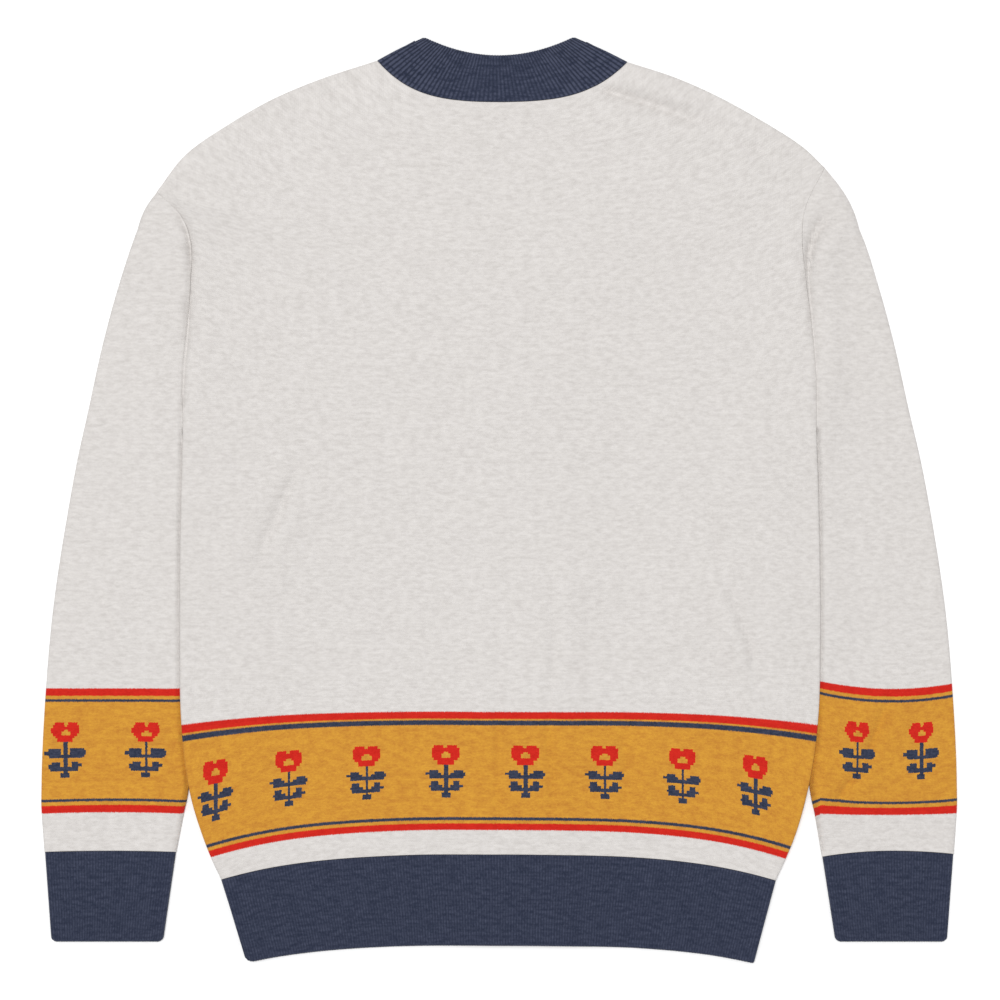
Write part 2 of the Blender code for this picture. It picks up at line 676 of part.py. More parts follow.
def make_button(number, material):
    """A turned button, face down: a raised rim round a shallow dish."""
    corner = BUTTON_RADIUS - BUTTON_BEVEL
    inner = BUTTON_RADIUS - BUTTON_RIM
    profile = ((0.0, BUTTON_THICKNESS), (corner, BUTTON_THICKNESS),
               (BUTTON_RADIUS, BUTTON_THICKNESS - BUTTON_BEVEL), (BUTTON_RADIUS, BUTTON_BEVEL),
               (corner, 0.0), (inner, 0.0), (inner - BUTTON_SLOPE, BUTTON_DISH), (0.0, BUTTON_DISH))
    bm = bmesh.new()
    points = [bm.verts.new((radius * MM, 0.0, height * MM)) for radius, height in profile]
    for start, end in zip(points, points[1:]):
        bm.edges.new((start, end))
    mesh = bpy.data.meshes.new("button_{}".format(number))
    bm.to_mesh(mesh)
    bm.free()
    button = new_object(mesh.name, mesh, material)
    turn = button.modifiers.new("Turn", "SCREW")
    turn.steps = BUTTON_SEGMENTS
    turn.render_steps = BUTTON_SEGMENTS
    turn.use_merge_vertices = True
    turn.merge_threshold = MERGE_DISTANCE
    button.location = (BAND_X * MM, (BUTTON_TOP_Y - (number - 1) * BUTTON_SPACING) * MM, 0.0)
    return button


# ---- the cardigan -------------------------------------------------------------------------------------

def new_material(name, colour, roughness):
    """A plain material, named for what it is."""
    material = bpy.data.materials.new(name)
    material.use_nodes = True
    shader = material.node_tree.nodes["Principled BSDF"]
    shader.inputs["Base Color"].default_value = (*colour, 1.0)
    shader.inputs["Roughness"].default_value = roughness
    shader.inputs["Metallic"].default_value = 0.0
    return material


def clear_scene():
    """Remove what the file holds."""
    for item in list(bpy.data.objects):
        bpy.data.objects.remove(item, do_unlink=True)


def new_collection(name):
    """A collection in the scene."""
    collection = bpy.data.collections.new(name)
    bpy.context.scene.collection.children.link(collection)
    return collection


clear_scene()
GARMENT = new_collection("cardigan")


def main():
    """Make every piece."""
    make_back(new_material("back_knit", CREAM, 0.9))
    make_fronts(new_material("front_knit", CREAM, 0.9))
    make_hem_back(new_material("hem_back_rib", NAVY, 0.92))
    make_hem_fronts(new_material("hem_front_rib", NAVY, 0.92))
    make_neckband(new_material("neckband_rib", NAVY, 0.92))
    for side in BAND_SIGN:
        make_sleeve(side, new_material("sleeve_{}_knit".format(side), CREAM, 0.9))
        make_cuff(side, new_material("cuff_{}_rib".format(side), NAVY, 0.92))
        make_front_band(side, new_material("front_band_{}_rib".format(side), NAVY, 0.92))
    button_material = new_material("button", BUTTON_NAVY, 0.35)
    for number in range(1, BUTTON_COUNT + 1):
        make_button(number, button_material)


main()
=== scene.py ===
"""The looks of a knitted cardigan that lies flat on its front, with its back up.

The tables are in millimetres and the scene is in metres. +Y points to the collar, +X to the wearer's
right and +Z up. Every piece of cloth is a closed wall of knit that stands for the plain solid of the
same name.
"""
import math
from collections import namedtuple

import bmesh
import bpy
import numpy as np
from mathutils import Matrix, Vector


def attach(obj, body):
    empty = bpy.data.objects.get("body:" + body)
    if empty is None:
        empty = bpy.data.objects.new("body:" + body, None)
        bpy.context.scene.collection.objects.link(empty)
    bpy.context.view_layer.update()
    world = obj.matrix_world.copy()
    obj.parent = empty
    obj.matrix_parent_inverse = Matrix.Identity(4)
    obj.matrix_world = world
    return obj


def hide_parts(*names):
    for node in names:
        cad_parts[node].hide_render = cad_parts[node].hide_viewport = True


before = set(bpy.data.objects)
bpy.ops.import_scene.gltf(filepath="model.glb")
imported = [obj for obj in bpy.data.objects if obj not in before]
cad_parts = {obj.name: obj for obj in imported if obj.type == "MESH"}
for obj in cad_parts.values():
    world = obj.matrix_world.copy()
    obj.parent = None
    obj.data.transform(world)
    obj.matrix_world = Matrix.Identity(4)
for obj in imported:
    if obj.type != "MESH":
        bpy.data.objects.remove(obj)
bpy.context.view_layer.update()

MM = 0.001


def table(kind, rows):
    """Rows of plain numbers, as named values."""
    return tuple(kind(*row) for row in rows)


# ---- cloth ------------------------------------------------------------------------------------------

CLOTH = 2.0                 # wall of the fine knit, and of a rib's valleys
HOLLOW = 0.6                # air between two layers that lie on each other
SEAM = 0.3                  # gap between pieces that are sewn together
STACK = 2 * CLOTH + HOLLOW  # height of a panel or sleeve that lies on the surface
MIDDLE = STACK / 2          # height at which upper and lower layer meet along the outline
RIB_RISE = 0.3              # a rib's crest over the fine knit beside it
RIB_RELIEF = 0.5            # a rib's crest over its valleys
FOLD_RADIUS = 3.0           # distance over which a layer rounds down to a fold
FOLD_EDGE = 0.22            # share of its height that is left at the fold itself
ARMHOLE_RADIUS = 0.8        # the same at the armhole, whose seam hardly shows
ARMHOLE_EDGE = 0.93
SEAM_RADIUS = 1.1           # distance over which a layer dips to a seam
SEAM_EDGE = 0.8             # share of its height that is left at the seam itself
NEAR_EDGE = (0.0, 0.3, 0.7, 1.1, 1.6, 2.1, 2.7, 3.6, 4.8, 6.4)  # columns and rows beside an edge
COURSE_SQUARE = 0.3         # a bent course is this share parabola, and the rest a fourth power
HEM_COURSE_SQUARE = 0.42    # and near the hem this share
HEM_COURSE_TOP = -180.0

# The body, from the hem seam up to the neck corner. Each row is a course of the knit: its height on
# the centre line, and where it meets the outline on the left and on the right.
BodyRow = namedtuple("BodyRow", "centre_y left_x left_y right_x right_y")
BODY_ROWS = table(BodyRow, (
    (-276.8, -217.2, -296.6, 217.2, -297.4),  # seam of the hem rib
    (-259.7, -224.4, -281.2, 224.1, -282.4),
    (-238.5, -232.4, -260.4, 232.6, -261.3),
    (-211.1, -241.0, -231.5, 241.0, -231.5),
    (-183.6, -246.4, -198.5, 247.4, -198.5),
    (-156.2, -248.9, -164.5, 250.8, -164.5),
    (-117.0, -249.6, -117.0, 252.0, -117.0),
    (-46.5, -249.4, -46.5, 251.7, -46.5),
    (8.4, -248.4, 8.4, 250.4, 8.4),
    (55.5, -247.0, 55.5, 248.8, 55.5),        # underarm
    (90.7, -247.3, 100.9, 248.6, 98.6),
    (122.1, -243.9, 137.8, 245.6, 135.4),
    (149.5, -241.4, 173.1, 241.2, 173.1),
    (174.6, -241.6, 204.4, 237.6, 208.3),
    (196.6, -251.0, 226.4, 242.0, 234.2),
    (213.8, -268.2, 242.1, 256.0, 261.2),     # top of the armhole
    (233.4, -245.8, 271.1, 237.9, 278.1),
    (254.6, -211.3, 295.4, 208.2, 297.0),
    (275.0, -175.2, 315.8, 172.9, 316.5),
    (294.6, -134.8, 332.2, 137.2, 332.2),
    (312.6, -95.1, 345.2, 101.1, 343.9),      # seam of the neckband
))
UNDERARM_ROW = 9
ARMHOLE_TOP_ROW = 15
FRONT_TOP_SHARE = 0.8       # a front ends this far from the last row but one to the neck corner
ROW_SPACING = 3.0
BACK_HALF_COLUMNS = 78
FRONT_COLUMNS = 68
FRONT_SQUEEZE = 0.3         # the most of a front's width that the columns beside an edge take

# A sleeve, from the armhole down to the cuff's seam, as distances from the centre line. A section
# leaves both folds square to them by this share of its length, and is straight where that is 0.
SleeveRow = namedtuple("SleeveRow", "outer_x outer_y inner_x inner_y square")
SLEEVE_ROWS = table(SleeveRow, (
    (283.4, 212.3, 241.9, 30.4, 0.4),
    (299.1, 165.2, 232.5, 0.6, 0.4),
    (311.6, 118.2, 224.6, -29.2, 0.4),
    (321.8, 71.1, 219.9, -55.9, 0.4),
    (330.5, 31.9, 219.1, -79.4, 0.4),
    (338.3, -11.2, 221.5, -101.3, 0.4),
    (345.9, -58.2, 226.2, -120.9, 0.4),
    (351.3, -101.3, 231.7, -137.4, 0.4),
    (355.2, -148.4, 236.4, -156.2, 0.4),
    (357.9, -195.4, 240.0, -197.0, 0.0),
    (358.7, -226.8, 243.4, -228.3, 0.0),
    (358.6, -244.0, 247.2, -246.4, 0.0),
    (356.3, -274.4, 252.8, -274.4, 0.0),    # seam of the cuff
))
SLEEVE_COLUMNS = 56         # across one layer of a sleeve, without those beside its folds
SLEEVE_LINES = 14           # lines of the mesh from one row of the table to the next
SHOULDER_BULGE = {"left": 1.7, "right": 3.3}  # of the outer fold between the armhole and the first row
RIGHT_SLEEVE_SHIFT = 1.1    # the right sleeve lies this much farther out below the armhole
RIGHT_SHIFT_TOP = 110.0     # from this height down
RIGHT_SHIFT_RAMP = 130.0    # and over this height
SLEEVE_STARTS_OVER = 46.0   # length from the armhole to the first row
SLEEVE_ENDS_OVER = 29.0     # length from the last row but one to the cuff
UNDERARM_TIGHT = 0.2        # share of its usual radius that the inner fold has at the underarm
UNDERARM_TIGHT_REACH = 15.0
ARMHOLE_FADE = 2.0          # rows over which the armhole's own bend leaves the sections
SLEEVE_ACROSS = 150.0       # usual width of a sleeve, which sets the columns beside its folds
FOLD_WALL_REACH = 14.0      # a tube's inner surface runs up to its fold within this distance
FOLD_WALL_START = 0.5       # and does so fully this many rows after the armhole
TUBE_DIP_FADE = 2.0         # what dips in a tube is gone at its folds, and whole this far from them
TUBE_RISE_FADE = 5.0        # and so is what rises
THINNEST_TUBE = 0.6         # wall that is left in a sleeve's upper layer
CREASE_UNDER = 0.6          # share of a tube's creases that the surfaces under them follow
CREASE_UNDER_MOST = 0.8     # up to this height
CREASE_INSIDE = 0.5         # share that a sleeve's lower inner surface follows
CREASE_INSIDE_MOST = 0.6    # up to this height
SLIGHT = 0.02               # least that keeps a sleeve's surfaces apart
FREE_GAP = 2.0              # a sleeve has creases of its own from this distance from the body
FREE_RAMP = 10.0            # and in full after this much more

# How far the knit's courses run off level on the right sleeve, as a height, a slope and a curve about
# its middle, each at a height on the sleeve
CourseBend = namedtuple("CourseBend", "y rise slope curve")
RIGHT_COURSE_BENDS = table(CourseBend, ((-273.8, 0.4, -1.6, 2.9), (-235.0, 1.9, 0.8, -2.2),
                                        (-147.0, 0.2, 1.6, -4.3), (-60.0, 0.0, 0.0, 0.0)))
RIGHT_COURSE_MIDDLE = 300.7
RIGHT_COURSE_HALF = 47.0
LEFT_COURSE_ARCH = 1.1
LEFT_ARCH_X = 245.0         # where the left sleeve's arch starts
LEFT_ARCH_WIDTH = 110.0
LEFT_ARCH_TOP = -150.0      # it comes in from this height down
LEFT_ARCH_RAMP = 80.0
KINK_X = 252.4              # the right sleeve's courses drop off sharply inside this line
KINK_WIDTH = 6.0
KINK_RISE = 3.5
KINK_TOP = -210.0           # this too comes in from a height down
KINK_RAMP = 24.0

# A cuff's seam falls off from its highest point, which lies this share of the way in from the outer
# fold, by these heights at its outer and its inner end.
SeamBend = namedtuple("SeamBend", "top outer inner")
CUFF_SEAM_BENDS = {"left": SeamBend(0.52, 1.0, 0.9), "right": SeamBend(0.47, 2.6, 4.6)}
CUFF_SEAM_BEND_REACH = 32.0

# The sleeve's inner fold lies under the body and lifts the body's side.
LIFT = STACK + SEAM
LIFT_MARGIN = 10.0
LIFT_RAMP = 80.0
LIFT_TOP_FULL = 80.0
LIFT_TOP_NONE = 160.0

# Ribs
RIB_PITCH = 2.25            # of the hem, the cuffs and the button bands
RIB_COLUMNS = 6             # columns of the mesh in each rib
HIDDEN_RIB_COLUMNS = 4
RIB_NEAR_EDGE = (0.0, 0.4, 1.0, 1.9, 3.2)
RIB_ROWS = 11
RIB_ROUND = 0.6             # power that makes the crests broad and the valleys narrow
RIB_SCALLOP = 0.4           # how far a crest reaches past its valleys at the free edge
RIB_SCALLOP_REACH = 3.0
RIB_WANDER = 0.16           # how far a rib strays from its straight line
RIB_UNEVEN = 0.1            # share by which one crest is lower than another
CORNER_RADIUS = 5.0
RIB_END_FADE = 8.0          # what bends ribs is gone at a fold, and whole this far from it
RIB_SCALLOP_FADE = 4.0      # and so are a cuff's scallops
WANDER_FADE = 10.0          # the hem's ribs stray less within this distance of its ends
HIDDEN_RELIEF = 0.8         # share of the relief that ribs have on the side that lies down
RIB_STITCH_HEIGHT = 1.5
HEM_CORNERS = {"left": 8.5, "right": 2.5}   # radius of the hem's two corners
HEM_BOTTOM = BodyRow(-348.3, -199.4, -362.7, 200.7, -362.7)
CuffEnd = namedtuple("CuffEnd", "outer_x inner_x y")
CUFF_TOP = CuffEnd(355.9, 253.1, -274.7)
CUFF_BOTTOM = CuffEnd(351.2, 262.6, -345.8)

# Neckband, along its free edge: the shoulder folds are its two ends.
NECK_PEAKS = {"left": (-60.0, 364.6), "right": (60.8, 364.8)}
NECK_DIP = 349.4
NECK_RIBS = 60
NECK_RIB_COLUMNS = 8
NECK_SEAM_RISE = 0.25
# share of the painted rib shade that the neckband keeps in its middle, where its ribs are shallow
NECK_PAINTED_SHADE_MIDDLE = 0.15
NECK_RELIEF = 2.3           # its ribs are deeper than the hem's by this factor at the shoulders
NECK_PEAK_ROUNDING = 0.55   # its two corners are rounded like the hem's, but less
NECK_FOLD_BULGE = 1.0       # its folds at the shoulders bend outwards by this
NECK_FOLD_REACH = 12.0
NECK_FREE_PITCH = 0.62      # a rib's width at the free edge, as a share of that at the seam
NECK_ARCH = 0.5             # the band bulges up by this between its seam and its free edge
NECK_SCALLOP = 0.6          # share of the usual scallop that its crests have
NECK_POINTS = 1200          # along its seam and its free edge, before they are spaced evenly
FREE_EDGE_RADIUS = 1.2      # a rib's wall thins towards its free edge over this distance
FREE_EDGE_SHARE = 0.35      # to this share

# Button bands
BAND_WIDTH = 38.0
BAND_X = 20.0
BAND_BOTTOM = -348.6
BAND_STRAIGHT_TOP = 70.0
BAND_BEND = 60.0
BAND_NECK_CONTROL = {"left": (-12.0, 190.0), "right": (40.0, 190.0)}
BAND_REACH = 42.0
BAND_LINES_ACROSS = 6
BAND_END_TAPER = 0.3        # a band narrows by this share where it ends under the neckband's corner
BAND_END_REACH = 7.0
BAND_STEPS = 300            # points along each half of its line
BAND_RELIEF = 0.35
BAND_EDGE_SHARE = 0.45      # share of the wall's thickness that is left at a band's edges
RIDGE_REACH = 70.0
RIDGE_TOP_FULL = 180.0
RIDGE_TOP_NONE = 270.0
BAND_SIGN = {"left": 1, "right": -1}   # the way along X from the front to its band

# Buttons
BUTTON_COUNT = 6
BUTTON_TOP_Y = 118.0
BUTTON_SPACING = 86.5
BUTTON_THICKNESS = 2.2
LEFT_BAND_BASE = BUTTON_THICKNESS + SEAM
RIGHT_BAND_BASE = LEFT_BAND_BASE + CLOTH + SEAM
RIDGE = RIGHT_BAND_BASE + 0.5 - HOLLOW
BandClimb = namedtuple("BandClimb", "base full none")
BAND_CLIMB = {"left": BandClimb(LEFT_BAND_BASE, 135.0, 190.0),
              "right": BandClimb(RIGHT_BAND_BASE, 170.0, 240.0)}

# ---- creases ----------------------------------------------------------------------------------------

# A crease is a soft ridge, or a trough where its height is negative, along a line in the plan. One
# side falls away over `near` and the other over `far`: far is on the left of the line's way.
Crease = namedtuple("Crease", "line height near far")
BACK_CREASES = table(Crease, (
    (((-174.0, 30.0), (-184.0, 8.0), (-200.0, -24.0), (-210.0, -56.0)), 1.1, 7.0, 14.0),
    (((-206.0, 60.0), (-214.0, 10.0), (-210.0, -40.0)), 0.8, 12.0, 16.0),
    (((54.0, -28.0), (57.0, -80.0), (56.0, -150.0), (59.0, -190.0)), 0.6, 5.0, 9.0),
    (((-15.0, -60.0), (-14.0, -120.0), (-16.0, -200.0)), 0.5, 9.0, 6.0),
    (((168.0, -50.0), (178.0, -80.0), (188.0, -108.0), (197.0, -138.0)), 2.0, 14.0, 7.0),
    (((210.0, -66.0), (217.0, -92.0), (222.0, -122.0)), 0.9, 6.0, 12.0),
    (((92.0, 332.0), (121.0, 323.0), (152.0, 313.0), (182.0, 300.0)), 1.8, 6.0, 9.0),
    (((197.0, 297.0), (215.0, 286.0), (236.0, 270.0)), 0.8, 6.0, 10.0),
    (((-96.0, 312.0), (-140.0, 292.0), (-176.0, 270.0)), 0.5, 10.0, 16.0),
    (((120.0, 34.0), (170.0, 24.0), (222.0, 30.0)), 0.8, 12.0, 18.0),
    (((-120.0, 58.0), (-170.0, 70.0), (-224.0, 92.0)), 0.7, 14.0, 20.0),
    (((-60.0, -30.0), (-66.0, -80.0), (-60.0, -130.0)), 0.5, 14.0, 18.0),
    (((104.0, -60.0), (108.0, -110.0), (102.0, -150.0)), 0.5, 12.0, 16.0),
    (((-150.0, -190.0), (-120.0, -214.0), (-96.0, -246.0)), 0.5, 12.0, 16.0),
    (((150.0, -186.0), (128.0, -212.0), (112.0, -244.0)), 0.5, 14.0, 12.0),
))
SHOULDER_SEAM = ((-119.0, 333.6), (-165.0, 314.2), (-217.0, 287.6), (-240.0, 270.0))
SHOULDER_SEAM_DEPTH = 1.0
SHOULDER_SEAM_WIDTH = 1.5
SHOULDER_SEAM_START = 0.05  # share of its length over which it comes in
SHOULDER_SEAM_END = 0.2     # and over which it goes out again
SLEEVE_CREASES = {
    "left": table(Crease, (
        (((255.0, 222.0), (252.0, 196.0), (253.0, 160.0), (256.0, 128.0)), 1.1, 9.0, 5.0),
        (((300.0, 120.0), (296.0, 76.0), (282.0, 30.0)), 0.6, 16.0, 12.0),
        (((268.0, 60.0), (280.0, 10.0), (284.0, -40.0)), 0.7, 12.0, 16.0),
        (((322.0, -40.0), (318.0, -100.0), (308.0, -140.0)), 0.6, 14.0, 14.0),
        (((262.0, -236.0), (290.0, -244.0), (326.0, -240.0)), 0.6, 9.0, 9.0),
    )),
    "right": table(Crease, (
        (((270.0, 222.0), (262.0, 208.0), (259.0, 190.0), (261.0, 150.0), (263.0, 104.0),
          (263.0, 66.0)), 1.0, 9.0, 8.0),
        (((300.0, 150.0), (298.0, 100.0), (286.0, 56.0)), 0.7, 14.0, 12.0),
        (((296.0, 10.0), (300.0, -40.0), (294.0, -90.0)), 0.7, 14.0, 16.0),
        (((299.0, -192.0), (290.0, -208.0), (276.0, -226.0), (268.0, -234.0)), 1.2, 4.0, 9.0),
        (((258.0, -248.0), (292.0, -240.0), (330.0, -246.0)), 0.7, 8.0, 9.0),
        (((330.0, -160.0), (336.0, -200.0), (330.0, -236.0)), 0.6, 10.0, 10.0),
    )),
}
FRONT_CREASES = table(Crease, (
    (((-150.0, 60.0), (-166.0, 10.0), (-190.0, -40.0)), 0.9, 9.0, 14.0),
    (((-90.0, 160.0), (-110.0, 100.0), (-104.0, 40.0)), 0.7, 12.0, 16.0),
    (((-60.0, -70.0), (-74.0, -130.0), (-70.0, -190.0)), 0.7, 10.0, 12.0),
    (((130.0, 120.0), (150.0, 60.0), (146.0, 0.0)), 0.8, 12.0, 12.0),
    (((176.0, -30.0), (190.0, -90.0), (186.0, -140.0)), 0.9, 9.0, 13.0),
    (((90.0, -120.0), (100.0, -170.0), (92.0, -220.0)), 0.7, 10.0, 10.0),
))
CUFF_CREASES = {
    "left": table(Crease, ((((290.0, -276.0), (296.0, -300.0), (292.0, -330.0)), 0.5, 12.0, 12.0),)),
    "right": table(Crease, (
        (((266.0, -280.0), (270.0, -310.0), (272.0, -336.0)), 0.7, 5.0, 9.0),
        (((318.0, -280.0), (312.0, -306.0), (316.0, -334.0)), 0.5, 12.0, 12.0),
    )),
}
ARMHOLE_GAP = 0.03
UNDERARM_BELOW = 14.0       # the body's side turns from a fold into a seam from here under the underarm
UNDERARM_FADE = 21.0        # and over this height
JOIN_Y = 36.0               # the sleeve is joined to the body from this height up
JOIN_RAMP = 27.0            # and fully after this much more
CREASE_FADE = 14.0          # creases are gone at an outline, and whole this far from it
TUBE_CREASE_FADE = 10.0     # and this far from a sleeve's fold
CREASE_ENDS = 0.8           # power that keeps a crease high until near its ends
CREASE_STEP = 6.0           # between the points of a crease's line
VALLEY_STEP = 4.0           # and of a valley's
FRONT_SHARE = 0.85          # share of the back's creases that the fronts follow
FRONT_CREASE_FADE = 20.0    # their own are whole this far from an outline
FRONT_CREASE_MOST = 0.5     # and rise this much over those at most
DEEPEST = 1.3               # the most that a trough takes from the top of a wall

# The cloth sinks in narrow valleys between broad swells: along both armholes, and in the creases. A
# valley's side falls to a third over its reach, and each point has its depth and its reach there.
ValleyPoint = namedtuple("ValleyPoint", "x y depth reach")
VALLEYS = tuple(table(ValleyPoint, points) for points in (
    # the left armhole
    ((-263.0, 249.0, 0.0, 3.0), (-257.5, 241.3, 1.6, 3.5), (-251.3, 226.4, 4.0, 4.3),
     (-245.0, 213.8, 6.8, 4.5), (-241.6, 196.6, 8.5, 3.3), (-241.2, 173.1, 5.6, 4.4),
     (-242.6, 150.0, 6.2, 3.3), (-243.2, 136.2, 6.0, 3.0), (-245.6, 106.4, 4.4, 2.8),
     (-247.4, 71.1, 3.8, 2.6), (-247.8, 58.0, 2.2, 2.2), (-248.4, 46.0, 0.6, 2.2),
     (-249.0, 34.0, 0.0, 2.2)),
    # the right armhole
    ((268.0, 222.0, 0.0, 5.0), (260.0, 221.0, 7.4, 6.2), (252.5, 216.5, 11.4, 6.4),
     (247.6, 207.5, 12.2, 5.4), (244.2, 196.6, 12.0, 4.4), (243.0, 173.1, 7.0, 4.2),
     (245.2, 149.5, 5.6, 3.8), (247.0, 128.0, 4.2, 3.4), (248.5, 106.4, 3.2, 3.0),
     (249.4, 71.1, 3.2, 2.8), (249.8, 58.0, 2.2, 2.3), (250.1, 46.0, 0.6, 2.3), (250.5, 34.0, 0.0, 2.3)),
    # the right shoulder
    ((74.0, 326.0, 0.0, 6.0), (84.0, 322.0, 7.0, 7.0), (111.0, 313.6, 10.4, 7.4),
     (142.0, 303.0, 9.2, 7.4), (170.0, 292.0, 4.0, 7.0), (185.0, 284.0, 2.8, 6.0),
     (204.0, 275.0, 5.4, 6.4), (220.0, 263.0, 0.0, 5.0)),
    # the left shoulder
    ((-100.0, 336.0, 0.0, 4.5), (-116.0, 327.0, 3.2, 4.5), (-146.0, 312.0, 2.8, 4.5),
     (-176.0, 300.0, 1.8, 4.0), (-206.0, 285.0, 0.0, 4.0)),
    # left of the back's middle
    ((-152.0, 40.0, 0.0, 6.0), (-162.0, 14.0, 6.4, 7.0), (-172.0, -8.0, 8.4, 7.4),
     (-183.0, -34.0, 5.6, 7.0), (-191.0, -66.0, 0.0, 6.0)),
    # beside the button band's edges
    ((38.0, -20.0, 0.0, 4.0), (41.0, -70.0, 2.8, 3.6), (44.0, -110.0, 3.8, 3.6),
     (40.0, -160.0, 3.2, 3.6), (42.0, -215.0, 3.6, 3.6), (43.0, -262.0, 1.2, 3.5)),
    ((4.0, -40.0, 0.0, 4.0), (2.0, -110.0, 2.2, 3.6), (0.0, -180.0, 2.8, 3.6), (1.0, -230.0, 3.0, 3.6),
     (0.0, -266.0, 0.6, 3.5)),
    ((96.0, -170.0, 0.0, 4.0), (99.0, -200.0, 2.6, 4.2), (98.0, -240.0, 2.2, 4.2),
     (100.0, -268.0, 0.4, 4.0)),
    # right of the back's middle
    ((177.0, -54.0, 0.0, 6.0), (185.0, -80.0, 6.4, 6.6), (195.0, -108.0, 8.4, 7.2),
     (204.0, -136.0, 5.6, 6.8), (210.0, -160.0, 0.0, 6.0)),
    ((161.0, 16.0, 0.0, 6.0), (168.0, -14.0, 5.8, 6.2), (174.0, -40.0, 4.6, 6.2),
     (179.0, -62.0, 0.0, 6.0)),
    ((216.0, 66.0, 0.0, 6.0), (226.0, 38.0, 2.4, 6.0), (231.0, 10.0, 2.0, 6.0),
     (233.0, -24.0, 0.0, 6.0)),
    # on the right sleeve's border
    ((309.0, -146.0, 0.0, 4.0), (300.0, -172.0, 5.2, 4.0), (290.0, -197.0, 4.4, 4.2),
     (278.0, -218.0, 5.2, 4.2), (268.0, -232.0, 4.2, 4.2), (263.0, -246.0, 0.0, 4.0)),
    # on the left sleeve
    ((-318.0, -46.0, 0.0, 4.0), (-310.0, -80.0, 3.2, 4.2), (-296.0, -112.0, 2.6, 4.2),
     (-288.0, -136.0, 0.0, 4.0)),
))
SWELL_SHARE = 0.8           # height of the swells beside a valley, as a share of its depth
SWELL_REACH = 24.0
VALLEY_ROUND = 0.1          # square of the width over which a valley's bottom is rounded
SWELL_UNDER = 0.25          # share of the swell that the front's layer follows
THINNEST = 0.8              # wall that is left under a valley
THINNEST_FRONT = 0.4        # and where a front is thinnest
VALLEY_UNDER = 0.55         # share of a valley that the layer's inner surface follows
ALMOST_ONE = 0.9999         # a share of the way that still lies before a line's last point
WELT = 2.1                  # a second, fainter line beside the armhole's seam lies this far out
WELT_DEPTH = 0.15
WELT_WIDTH = 0.45

# Outside the body's edge the sleeve's upper layer rises towards the body that lies over it.
RISE_REACH = 20.0
RISE_JOINED = 0.94          # share of the body's lift that the sleeve shares where they are sewn
RISE_LOOSE = 0.62           # and below the underarm, where they only touch
RISE_GAP = 0.3              # the sleeve comes up from this distance from the body's edge
RISE_RAMP = 3.2             # and over this distance

# Slow unevenness of cloth at rest: wavelengths across and along, way and height of each wave
Wave = namedtuple("Wave", "across along phase height")
WAVES = (Wave(211.0, 173.0, 0.4, 0.10), Wave(-97.0, 131.0, 1.9, 0.08), Wave(67.0, 151.0, 3.1, 0.07),
         Wave(59.0, -47.0, 5.0, 0.05), Wave(-31.0, 83.0, 2.2, 0.04), Wave(43.0, 29.0, 0.9, 0.03))

# ---- pattern ----------------------------------------------------------------------------------------

STITCH_WIDTH = 1.7
STITCH_HEIGHT = 1.3
STRIPE_EDGE = 0.5           # half the width over which two stripes' yarns mingle
Stripe = namedtuple("Stripe", "colour low high")
BODY_STRIPES = (
    Stripe("mustard", -254.8, -167.6),
    Stripe("red", -170.4, -164.9),
    Stripe("navy", -175.4, -171.6),
    Stripe("navy", -249.7, -247.3),
    Stripe("red", -257.4, -252.2),
)
SLEEVE_STRIPES = (
    Stripe("mustard", -241.6, -149.8),
    Stripe("red", -152.8, -146.9),
    Stripe("navy", -157.5, -155.4),
    Stripe("navy", -235.8, -233.7),
    Stripe("red", -244.6, -238.7),
)
FlowerRow = namedtuple("FlowerRow", "head_top first pitch")
BODY_FLOWERS = FlowerRow(-191.1, -229.25, 62.7)
LEFT_SLEEVE_FLOWERS = FlowerRow(-173.6, -339.2, 63.2)
RIGHT_SLEEVE_FLOWERS = FlowerRow(-173.6, 209.5, 58.7)
RIGHT_SLEEVE_SQUEEZE = 0.86  # its border shows foreshortened, because the sleeve is turned a little
# The body's border is foreshortened towards its sides: distances from its middle as they show, and
# as they are knitted
BORDER_MIDDLE = -10.3
BORDER_SHOWN = (0.0, 93.3, 154.4, 211.3, 262.0)
BORDER_KNIT = (0.0, 94.1, 156.8, 219.5, 279.0)

# A flower, as boxes of stitches: distances down from the top of its head, and to the left and the
# right of its stem. Two flowers in four have a broad stem and the next two a slender one, with a
# wider and lower eye.
FlowerBox = namedtuple("FlowerBox", "top bottom left right")


def flower(parts):
    """The boxes of each part of a flower."""
    return {part: table(FlowerBox, boxes) for part, boxes in parts.items()}


BODY_FLOWER = flower({
    "head": ((0.0, 1.9, -9.9, -2.2), (0.0, 1.9, 0.6, 8.5), (1.9, 9.8, -11.3, 10.5),
             (9.8, 11.8, -9.9, 9.0), (11.8, 15.3, -7.0, 6.2)),
    "eye": ((5.2, 6.7, -1.9, 1.6), (6.6, 9.9, -3.7, 3.3)),
    "stem": ((15.2, 37.9, -1.8, 1.7),),
    "leaves": ((19.4, 26.0, -13.3, -6.2), (21.2, 23.0, -16.4, -13.2), (21.5, 26.0, -6.3, -3.8),
               (23.1, 26.0, -4.1, 4.0), (19.6, 26.0, 6.0, 13.7), (21.3, 24.0, 13.6, 15.2),
               (21.6, 26.0, 3.0, 6.1), (27.9, 35.7, -12.1, -6.2), (31.3, 33.0, -13.5, -12.0),
               (31.0, 35.7, -6.3, -3.0), (33.0, 35.7, -3.3, 3.5), (27.9, 35.6, 5.6, 10.5),
               (31.0, 33.0, 10.4, 13.4), (31.0, 35.6, 3.2, 5.7), (36.9, 40.9, -3.6, 3.5)),
})
